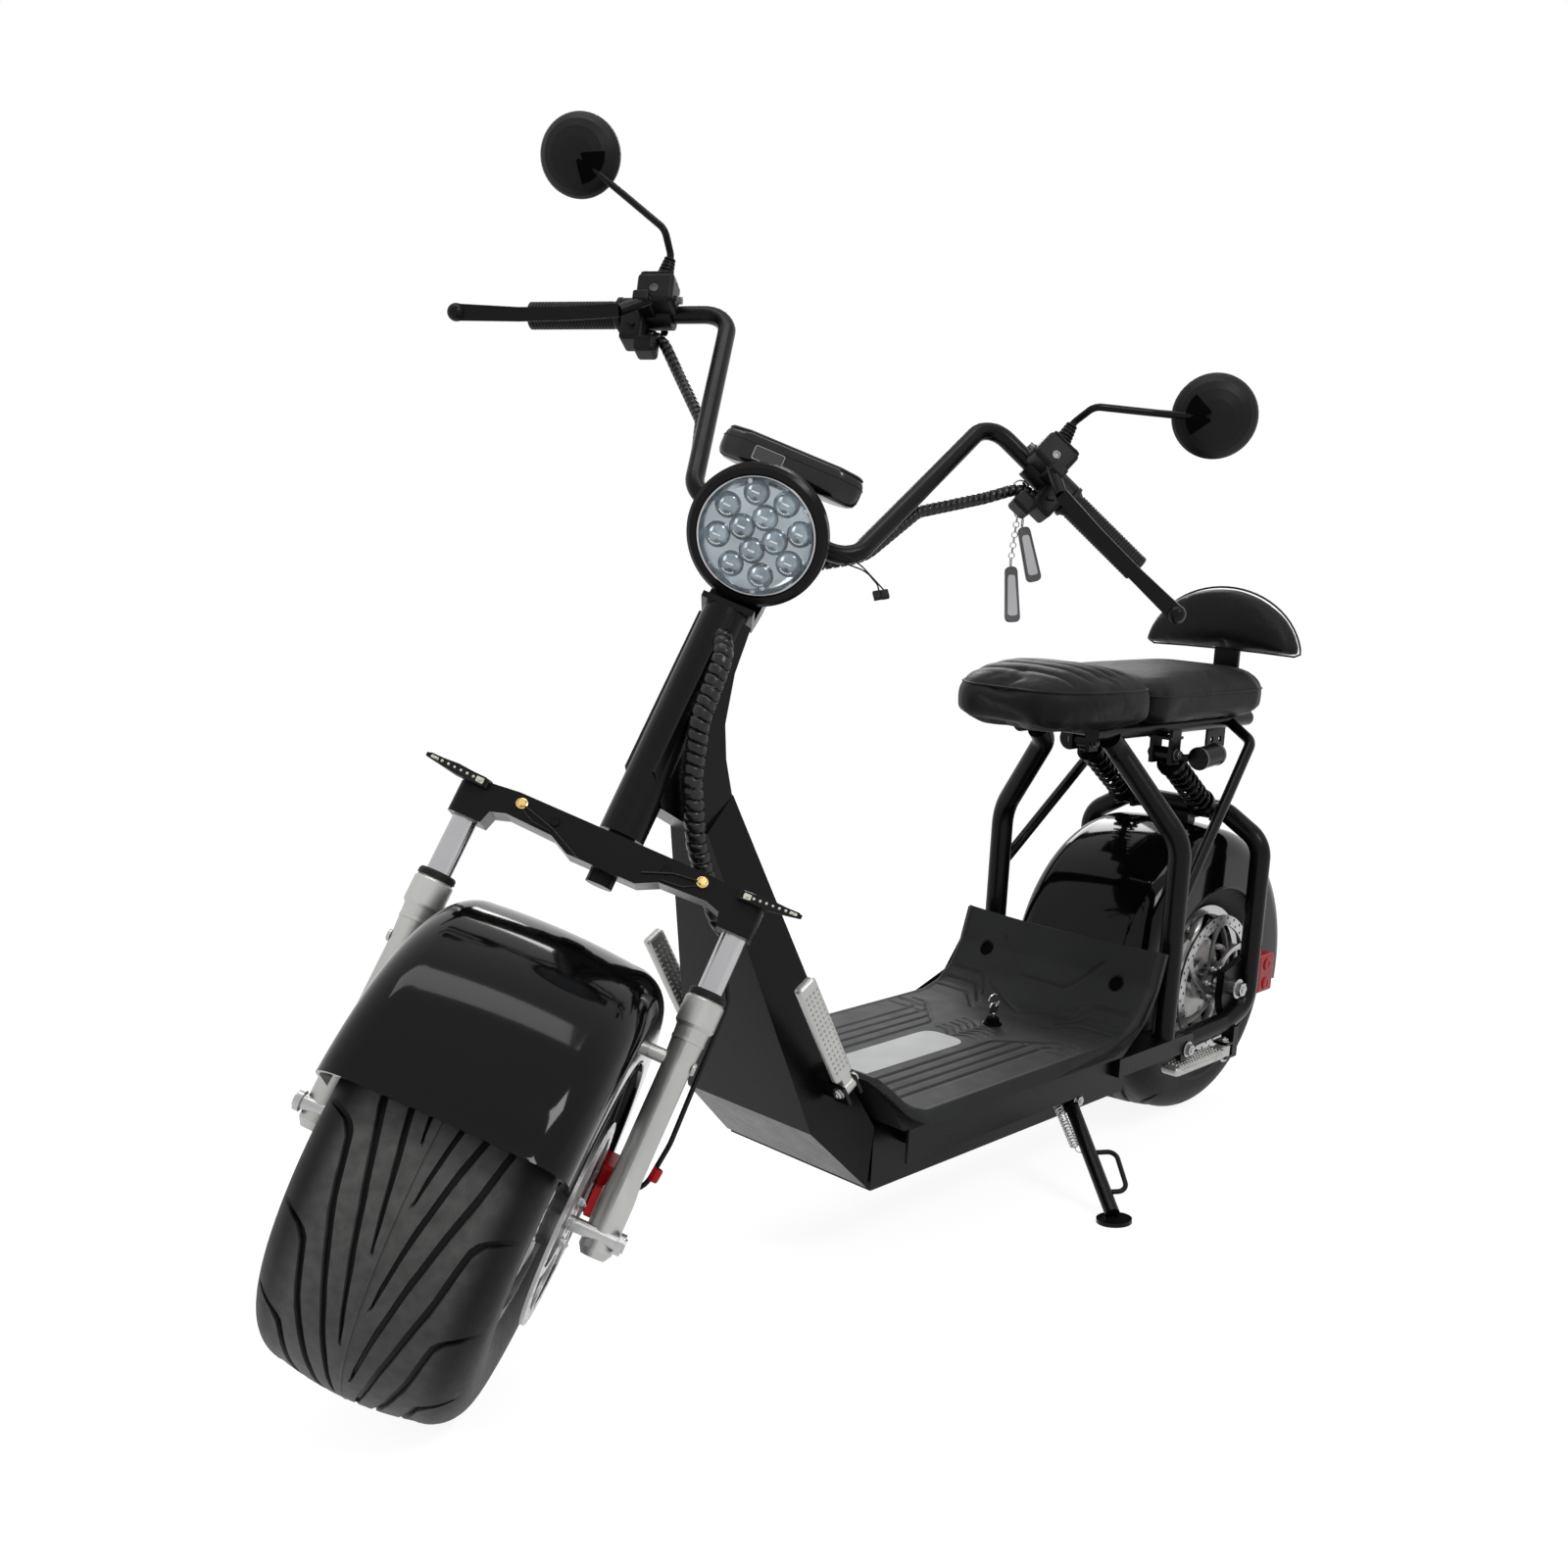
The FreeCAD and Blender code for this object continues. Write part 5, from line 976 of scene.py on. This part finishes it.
def footboard_mat():
    """Ribbed rubber mat: the top skin carries the relief, the rest closes it."""
    path = rounded([(x, 0, z) for x, z in MAT_LINE], 34.0, MAT_STEP + 0.1)
    along = RUN_START - np.cumsum([0.0] + [(b - a).length for a, b in zip(path, path[1:])])
    ys = np.linspace(-MAT_HALF, MAT_HALF, round(2 * MAT_HALF / MAT_STEP) + 1)
    level = mat_relief(*np.meshgrid(along, ys, indexing="ij"))
    rows = []
    for i, p in enumerate(path):
        way = (path[min(i + 1, len(path) - 1)] - path[max(i - 1, 0)]).normalized()
        up = Vector((way.z, 0, -way.x))
        up = -up if up.z < 0 or (abs(up.z) < 0.2 and up.x < 0) else up
        limit = mat_limit(MAT_FRONT - p.x)
        row = []
        for j, y in enumerate(ys):
            yy = max(-limit, min(limit, y))
            past = max(0.0, abs(yy) - (limit - EDGE_ROUND))
            drop = GROOVE_LEVEL * level[i, j] + EDGE_ROUND - sqrt(EDGE_ROUND ** 2 - past ** 2)
            bow = 8.0 * smooth(p.z, 210, 300) * (abs(yy) / MAT_HALF) ** 2
            q = p - up * (drop + 0.4)
            row.append((q.x - bow * 0.6, yy, q.z + bow * 0.4))
        rows.append(row)
    under = []
    for x, z in MAT_UNDER:
        limit = mat_limit(MAT_FRONT - x)
        bow = 8.0 * smooth(z, 210, 300) * 0.6
        row = [(x - bow * (min(limit, abs(y)) / MAT_HALF) ** 2, max(-limit, min(limit, y)), z) for y in ys]
        under.append(row)
    form = Form()
    form.skin(rows)
    form.skin(under[::-1])
    form.skin([rows[0], under[0]])
    form.skin([rows[-1], under[-1]])
    share = (len(under) - 1) / (len(rows) - 1)
    for j in (0, -1):
        form.skin([[row[j] for row in rows], [under[round(i * share)][j] for i in range(len(rows))]])
    built("footboard_mat_ribbed", form, CHASSIS, "mat_rubber", sharp=50, hides=["footboard_mat"])
    # Dark discs closing the round holes in the mat: painted shade inside the holes
    hole_shades = Form()
    k = min(range(len(path)), key=lambda i: abs(along[i] - PLUG_RUN))
    way = (path[k + 1] - path[k - 1]).normalized()
    for hand in (1, -1):
        axes = frame_at(path[k] + Vector((0, hand * PLUG_Y, 0)), (way.z, 0, -way.x))
        turned(hole_shades, [(9.4, 0.6), (8.8, 0.9), (7.6, -0.6), (0, -1.0)], axes, 28)
    built("mat_hole_shades", hole_shades, CHASSIS, "mat_rubber", mat="black_and_hole_shade", sharp=40)


def mat_label():
    """Blank plate along the middle of the mat, and the battery's lock with its key and ring."""
    plate, lock, key = Form(), Form(), Form()
    outline = rounded_outline([(495, -33, 24), (700, -33, 3), (700, 33, 3), (495, 33, 24)], 24, 8)
    slab(plate, outline, frame_at((0, 0, 194.4), Z), 0, 0.8, 0.2)
    built("mat_label", plate, CHASSIS, "mat_rubber", mat="blank_label", sharp=40)
    here = frame_at((*LOCK, 194), Z)
    barrel = [(13, 0), (13, 2.2), (12, 3.2), (9, 3.2), (9, 9), (8, 10.5), (5, 10.5), (5, 9), (0, 9)]
    turned(lock, barrel, here, 36)
    built("battery_lock", lock, CHASSIS, "plastic_black", mat="black_and_hole_shade")
    turned(key, [(3.6, 9.2), (3.6, 16), (2.8, 17), (0, 17)], here, 20)
    bow = here @ frame_at((0, -1.2, 16), Y) @ Matrix.Rotation(pi, 4, "Z")
    slab(key, rounded_outline([(-9, 0), (9, 0), (9, 15), (-9, 15)], 6), bow, 0, 2.4, 0.5)
    swept(key, ring_path(frame_at((*LOCK, 228), (0.3, 1, 0)), 9.0), 0.9, 8)
    blade = [(-2.4, 0), (2.4, 0), (2.4, 24), (0.6, 27), (-2.4, 25)]
    hanging = frame_at((409, -4, 197), (1, 0, 0.3), Z) @ Matrix.Rotation(pi / 2, 4, "Z")
    slab(key, blade, hanging, -1, 1, 0.3)
    built("battery_key", key, CHASSIS, "polished")


# Seats and backrest

VOXEL, PRESSURE, FILL = 0.0055, 4.0, 0.85
CLOTH_FRAMES = 20
SEAT_BASE = 613.5
CHANNEL_PITCH, CHANNEL_FROM, CHANNEL_TO = 26.0, 232, 412
FRONT_CROWN = [(1.0, 0.36), (0.992, 0.5), (0.97, 0.63), (0.925, 0.75), (0.85, 0.85), (0.72, 0.925),
               (0.5, 0.975), (0.25, 0.995), (0.0, 1.0)]
REAR_CROWN = [(1.0, 0.4), (0.995, 0.56), (0.975, 0.68), (0.93, 0.78), (0.85, 0.86), (0.7, 0.93),
              (0.45, 0.98), (0.2, 0.997), (0.0, 1.0)]
BACKREST_FOOT = ((-122, 699), (-61, 700.5), (0, 701), (61, 700.5), (122, 699))


def apply_modifiers(obj):
    """Bakes the modifier stack into the mesh."""
    bpy.context.view_layer.update()
    graph = bpy.context.evaluated_depsgraph_get()
    mesh = bpy.data.meshes.new_from_object(obj.evaluated_get(graph))
    old = obj.data
    obj.modifiers.clear()
    obj.data = mesh
    bpy.data.meshes.remove(old)


def soften(obj, cap):
    """Remeshes the pad, swells it as cloth under pressure, limits how far it moves and subdivides it."""
    remesh = obj.modifiers.new("remesh", "REMESH")
    remesh.mode = "VOXEL"
    remesh.voxel_size = VOXEL
    apply_modifiers(obj)
    before = [v.co.copy() for v in obj.data.vertices]
    cloth = obj.modifiers.new("cloth", "CLOTH")
    cloth.settings.use_pressure = True
    cloth.settings.uniform_pressure_force = PRESSURE
    cloth.settings.effector_weights.gravity = 0.0
    cloth.settings.quality = 4
    cloth.point_cache.frame_start = 1
    cloth.point_cache.frame_end = CLOTH_FRAMES
    for frame_number in range(1, CLOTH_FRAMES + 1):
        scene.frame_set(frame_number)
    apply_modifiers(obj)
    scene.frame_set(1)
    for vert, old in zip(obj.data.vertices, before):
        move = vert.co - old
        if move.length > cap:
            vert.co = old + move * (cap / move.length)
    fine = obj.modifiers.new("fine", "SUBSURF")
    fine.levels = 1
    apply_modifiers(obj)


def middle(outline):
    n = len(outline)
    return sum(p[0] for p in outline) / n, sum(p[1] for p in outline) / n


def pad_form(outline, low, high, shares):
    """Closed pad: rings up its side and over its crown, whose rows are (scale, share of the height)."""
    cx, cy = middle(outline)
    levels = [(0.0, low), (0.5, low), (0.8, low), (0.93, low + 1), (0.985, low + 5), (1.0, low + 12)]
    levels += [(share, low + (high - low) * t) for share, t in shares]
    rows = [[(cx + (x - cx) * k, cy + (y - cy) * k, z) for x, y in outline] for k, z in levels]
    form = Form()
    form.skin(rows, close_cols=True)
    return form


def seat_outline(rows, radius):
    """Outline of a seat from (x, half width) rows, front first, anticlockwise."""
    return rounded_outline(rows + [(x, -w) for x, w in rows[::-1]], radius, 8)


def outline_at(obj, outline, height):
    """Points of the pad's side at a height, met by rays from outside towards its middle."""
    verts = [V.inverted() @ v.co for v in obj.data.vertices]
    tree = BVHTree.FromPolygons(verts, [tuple(p.vertices) for p in obj.data.polygons])
    cx, cy = middle(outline)
    path = []
    for x, y in outline:
        way = Vector((cx - x, cy - y, 0)).normalized()
        hit = tree.ray_cast(Vector((x, y, height)) - way * 60, way)[0]
        if hit is not None:
            path.append(hit)
    return path + path[:1]


def sewn_channels(p):
    """How far the front seat's top sinks at a point: its channels, and the slope down to its nose."""
    inside = smooth(p.z, 655, 668) * (1 - smooth(abs(p.y), 78, 96))
    bend = p.x + 0.0011 * p.y * p.y
    slope = 9.0 * smooth(p.x, 330, 440) * smooth(p.z, 625, 680)
    if not CHANNEL_FROM < bend < CHANNEL_TO:
        return slope
    phase = (bend - 236) / CHANNEL_PITCH
    groove = exp(-(((phase + 0.5) % 1.0 - 0.5) * CHANNEL_PITCH / 2.6) ** 2)
    return inside * (3.0 * groove + 0.8 * cos(2 * pi * phase)) + slope


def shape_seat(obj, channels):
    """Sewn lines on a seat: channels over its top, a side seam near its nose, the fold at its foot."""
    inverse = V.inverted()
    for vert in obj.data.vertices:
        p = inverse @ vert.co
        sink = sewn_channels(p) if channels else 0.0
        pinch = 0.9 * exp(-((p.z - 620) / 2.2) ** 2)
        if channels and abs(p.y) > 60:
            seam = exp(-((p.x - 362 - 0.75 * (p.z - 640)) / 2.0) ** 2)
            pinch += 1.4 * seam * (1 - smooth(p.z, 648, 657))
        p.z -= sink
        hand = 1 if p.y > 0 else -1
        p.y -= hand * pinch if abs(p.y) > 40 else 0.0
        vert.co = V @ p
    obj.data.shade_smooth()


def seats():
    front = seat_outline([(437, 62), (412, 90), (368, 105), (300, 111), (219, 111)], 34)
    rear = seat_outline([(211, 106), (60, 109), (-80, 107), (-131, 86)], 32)
    for name, outline, high, crown, seam in (
        ("seat_front", front, 689, FRONT_CROWN, 662.0), ("seat_rear", rear, 679, REAR_CROWN, 650.0),
    ):
        pad = pad_form(outline, SEAT_BASE, high, crown)
        obj = built(name + "_cushion", pad, CHASSIS, "seat_leather", sharp=180, hides=[name])
        soften(obj, 0.006)
        shape_seat(obj, name == "seat_front")
        cord = Form()
        swept(cord, outline_at(obj, outline, seam), 1.9, 8)
        built(name + "_piping", cord, CHASSIS, "seat_leather", sharp=70)


def backrest():
    """Half-moon pad: a crowned front, a flat back shell, and piping round the back edge."""

    def outline(grow):
        arc = [radians(12 + 156 * k / 28) for k in range(29)]
        points = [((134 + grow) * cos(a), 690 + (108 + grow) * sin(a)) for a in arc]
        foot = [(y, z - grow) for y, z in BACKREST_FOOT]
        return points + [(-132 - grow, 704)] + foot + [(132 + grow, 704)]

    base = outline(-4.0)
    cz = 738.0
    levels = [(0.0, -154), (0.7, -154), (0.94, -153.5), (0.99, -149), (1.0, -142), (1.0, -132)]
    levels += [(0.985, -124), (0.95, -118), (0.88, -114.5), (0.72, -112), (0.45, -110.5)]
    levels += [(0.2, -110), (0, -110)]
    form = Form()
    rows = [[(x - 1.5, y * share, cz + (z - cz) * share) for y, z in base] for share, x in levels]
    form.skin(rows, close_cols=True)
    obj = built("backrest_cushion", form, CHASSIS, "seat_leather", sharp=180, hides=["backrest"])
    soften(obj, 0.005)
    edge = [(-143, y, z) for y, z in outline(-0.6)]
    cord = Form()
    swept(cord, edge + edge[:1], 1.6, 8)
    built("backrest_piping", cord, CHASSIS, "seat_leather", mat="rubber", sharp=70)


# Small parts

LEG_X, LEG_Y = -11, 152
SIGNAL_STRIP = [(-29, -3.4), (30, -1.7), (30, 1.7), (-29, 3.4)]
CROWN_LEAD_ENDS = {1: [(13.5, 70, 352), (13.5, 40, 340)], -1: [(13.5, -60, 344), (14.5, -25, 327)]}
STUD = [(2.2, -0.2), (1.6, 1.1), (0.7, 1.6), (0, 1.7)]
VALVE = [(4, 0), (3.6, 10), (2.6, 12), (2.6, 20), (3.2, 20.5), (3.2, 27), (2.4, 28), (0, 28)]


def fork_trim():
    """Brass bolts and thin leads on the crown, its black screws, dust seals, leg trim and signal strips."""
    brass, leads, dark, seals, strips, trim = Form(), Form(), Form(), Form(), Form(), Form()
    stud = [(5.5, 0), (6.2, 0.8), (6.2, 3.2), (4.6, 3.8), (4.6, 6.2), (3.6, 7.2), (0, 7.4)]
    edge = rounded_outline([(x * 1.07, y * 1.35) for x, y in SIGNAL_STRIP], 2.4, 4)
    for hand in (1, -1):
        here = frame_at((10.6, hand * 101, 355), (1, 0, 0.25))
        turned(brass, stud, here, 18)
        slab(brass, hexagon(5.6), here, 3.4, 5.8, 0.4)
        swept(leads, rounded([(16, hand * 99, 355)] + CROWN_LEAD_ENDS[hand], 30.0, 3.0), 0.9, 8)
        short = [(13, hand * 97, 350), (13, hand * 84, 343), (12.4, hand * 62, 341)]
        swept(leads, rounded(short, 14.0, 3.0), 0.8, 8)
        screw(dark, frame_at((10.8, hand * 62, 352), X), 5.0, 3.0)
        screw(dark, frame_at((LEG_X, hand * LEG_Y, 364.2), Z), 10.0, 3.2)
        leg = frame_at((LEG_X, hand * LEG_Y, 0), Z)
        turned(seals, [(13.6, 259), (18.5, 259), (20.0, 257), (20.4, 252.2), (13.6, 252.2)], leg, 40)
        plug = frame_at((LEG_X, hand * (LEG_Y + 15.2), 182), (0, hand, 0))
        turned(trim, [(0, 0), (6.8, 0), (6.8, 2.6), (5.8, 3.6), (0, 3.8)], plug, 24)
        for z, r in ((240, 19.9), (206, 17.6)):
            ring = [(r - 2, z - 2.4), (r + 0.3, z - 1.6), (r + 0.3, z + 1.6), (r - 2, z + 2.4)]
            turned(trim, ring, leg, 40)
        face = frame_at((24.9, hand * 173.6, 360.2), (68, -12 * hand, 0), (12, hand * 68, 2))
        slab(strips, rounded_outline(SIGNAL_STRIP, 1.6, 4), face, -1.5, 0.6, 0.4)
        for k in range(8):
            lamp = face @ Matrix.Translation((-24.5 + 7 * k, 0, 0.5))
            turned(strips, [(1.7, 0), (1.5, 0.8), (0.8, 1.3), (0, 1.4)], lamp, 12)
        swept(dark, [face @ Vector((x, y, 0)) for x, y in edge + edge[:1]], 0.9, 6)
    built("crown_fittings", brass, FORK, "cast_silver", mat="brass", sharp=30)
    built("crown_leads", leads, FORK, "rubber", mat="loom_wrap", sharp=60)
    built("crown_screws", dark, FORK, "frame_black", sharp=30)
    built("fork_seals", seals, FORK, "rubber", sharp=30)
    built("fork_rings", trim, FORK, "cast_silver", sharp=30)
    built("signal_strips", strips, FORK, "lens_clear", mat="signal_lens", sharp=40)


def key_fobs():
    """Two dark chrome fobs with bright faces, hung from the left loom on a short chain."""
    dark, bright = Form(), Form()
    spot = (V, "steering")
    down = (V.inverted().to_3x3() @ Vector((0, 0, -1))).normalized()
    hook = V.inverted() @ (F @ Vector(BAR_LOOM[1]))
    fob = rounded_outline([(-7.5, 0), (7.5, 0), (9.6, 68), (-9.6, 68)], 7, 8)
    inset = rounded_outline([(-4.6, 10), (4.6, 10), (6.2, 60), (-6.2, 60)], 4, 6)
    for top, lean in (((541.0, 79.6, 823.8), down), ((526.6, 83.1, 871.9), (-0.06, 0.29, -0.95))):
        axes = frame_at(top, lean, (-0.7, 0.7, 0))
        flat = axes @ Matrix.Rotation(pi / 2, 4, "X")
        slab(dark, fob, flat, -3.6, 3.6, 1.3)
        for low in (-4.2, 3.4):
            slab(bright, inset, flat, low, low + 0.8, 0.3)
        swept(bright, ring_path(frame_at(axes @ Vector((0, 0, -5)), (0.7, -0.7, 0)), 6.0, 20), 0.9, 8)
    swept(bright, ring_path(frame_at(hook, (0.7, 0.7, 0)), 9.0, 24), 0.9, 8)
    start, stop = hook + down * 10, Vector((540.3, 78.6, 834))
    links = round((stop - start).length / 6.2)
    for k in range(links):
        out = (0.7, 0.7, 0) if k % 2 else (0.7, -0.7, 0)
        swept(bright, ring_path(frame_at(start.lerp(stop, (k + 0.5) / links), out), 3.6, 14), 0.7, 6)
    built("key_fobs", dark, spot, "polished", mat="gunmetal", sharp=40)
    built("key_rings", bright, spot, "polished", sharp=40)


def stand_spring():
    """Return spring along the side stand, hooked at both ends."""
    pivot, touch = Vector((405, 138, 128)), Vector((495, 277, 28))
    way = (touch - pivot).normalized()
    aside = way.cross(Vector(Z)).normalized()
    a, b = pivot + way * 12 + aside * 19, pivot + way * 80 + aside * 16
    form = Form()
    swept(form, coil(a, b, 5.0, 15, 14), 1.1, 6)
    swept(form, [a - aside * 6 - way * 9, a - aside * 3 - way * 6, a], 0.9, 6)
    swept(form, rounded([b, b + way * 8, b + way * 10 - aside * 12], 4.0, 2.0), 0.9, 6)
    built("stand_spring", form, (V, "side_stand"), "polished", mat="steel", sharp=50)


def pegs():
    """Studded pads and pivot bolts of the folding pegs."""
    front = frame_at((842, 124, 239), (-131, 0, 78), (78, 0, 131))
    rear = frame_at((26, 158, 121), Z)
    for end, axes, half, high in (("front", front, 6.5, 14.0), ("rear", rear, 14.0, 6.5)):
        for hand, side_name in SIDES:
            peg = "%s_%s" % (end, side_name)
            studs, pins = Form(), Form()
            place = flipped(hand) @ axes
            for i in range(16):
                for j in range(4):
                    x, s = 30 + 7.4 * i, (j - 1.5) * 6.0
                    for out in (1, -1):
                        if end == "rear":
                            turned(studs, STUD, place @ frame_at((x, s, out * high), (0, 0, out)), 4)
                        if end == "front" or j in (1, 2):
                            turned(studs, STUD, place @ frame_at((x, out * half, s), (0, out, 0)), 4)
            for out in (1, -1):
                bolt(pins, place @ frame_at((0, 0, out * 12.6), (0, 0, out)), 5.6, 5.0)
            built("peg_studs_" + peg, studs, (V, "peg_" + peg), "cast_silver", sharp=30)
            built("peg_pins_" + peg, pins, CHASSIS, "polished", mat="steel", sharp=30)


def frame_trim():
    """Axle nuts, pivot bolts, the calipers' caps and bolts, and the tyre valves."""
    nuts = Form()
    for hand in (1, -1):
        bolt(nuts, frame_at((152, hand * 168, 150), (0, hand, 0)), 8.5, 7.0)
        bolt(nuts, frame_at((0, hand * 158, REAR_AXLE), (0, hand, 0)), 11.0, 9.0)
    bolt(nuts, frame_at((405, 153, 128), Y), 7.0, 5.5)
    built("frame_bolts", nuts, CHASSIS, "polished", mat="steel", sharp=30)
    cap = [(9.5, -0.5), (10.0, 0.8), (8.8, 2.0), (6.0, 2.2), (5.0, 1.2), (0, 1.2)]
    for end, spot, turn, height in (("front", FORK, 20, 0), ("rear", CHASSIS, 0, REAR_AXLE)):
        caps, bolts = Form(), Form()
        axes = Matrix.Translation((0, 0, height)) @ Matrix.Rotation(radians(turn), 4, "Y")
        axes = axes @ Matrix.Translation((-116, 0, 0))
        for out in (-1, 1):
            turned(caps, cap, axes @ frame_at((0, 143, out * 15), Y), 28)
            bolt_axes = axes @ frame_at((-24, 132, out * 11), (-1, 0, 0))
            turned(bolts, [(5.0, 0), (5.0, 9), (3.8, 11), (0, 11.4)], bolt_axes, 20)
        built("caliper_caps_" + end, caps, spot, "caliper_red", sharp=30)
        built("caliper_bolts_" + end, bolts, spot, "plastic_black", sharp=30)
    for end, spot, turn in (("front", FRONT_WHEEL, 200), ("rear", REAR_WHEEL, 75)):
        stem = Form()
        a = radians(turn)
        turned(stem, VALVE, frame_at(about_axle(102, a, -70), (-cos(a), -0.6, -sin(a))), 16)
        built("tyre_valve_" + end, stem, spot, "rubber", sharp=40)


def main():
    add_camera()
    add_surroundings()
    add_materials()
    dress_nodes()
    tyre("front", 225.0, FRONT_WHEEL)
    tyre("rear", 212.0, REAR_WHEEL)
    fender("front", 252, 120, -172, -11, FORK)
    fender("rear", 231, 114, -188, -18, (W @ Matrix.Translation((-8, 0, -2)), "frame"))
    for end, spot, hub in (("front", FRONT_WHEEL, 42), ("rear", REAR_WHEEL, 68)):
        for hand, name in SIDES:
            wheel_face(end, spot, hub, hand, name)
    brake_disc("front", FRONT_WHEEL)
    brake_disc("rear", REAR_WHEEL)
    headlight()
    grips()
    controls()
    mirrors()
    instrument()
    looms()
    shock_coils()
    footboard_mat()
    mat_label()
    seats()
    backrest()
    fork_trim()
    key_fobs()
    stand_spring()
    pegs()
    frame_trim()


main()
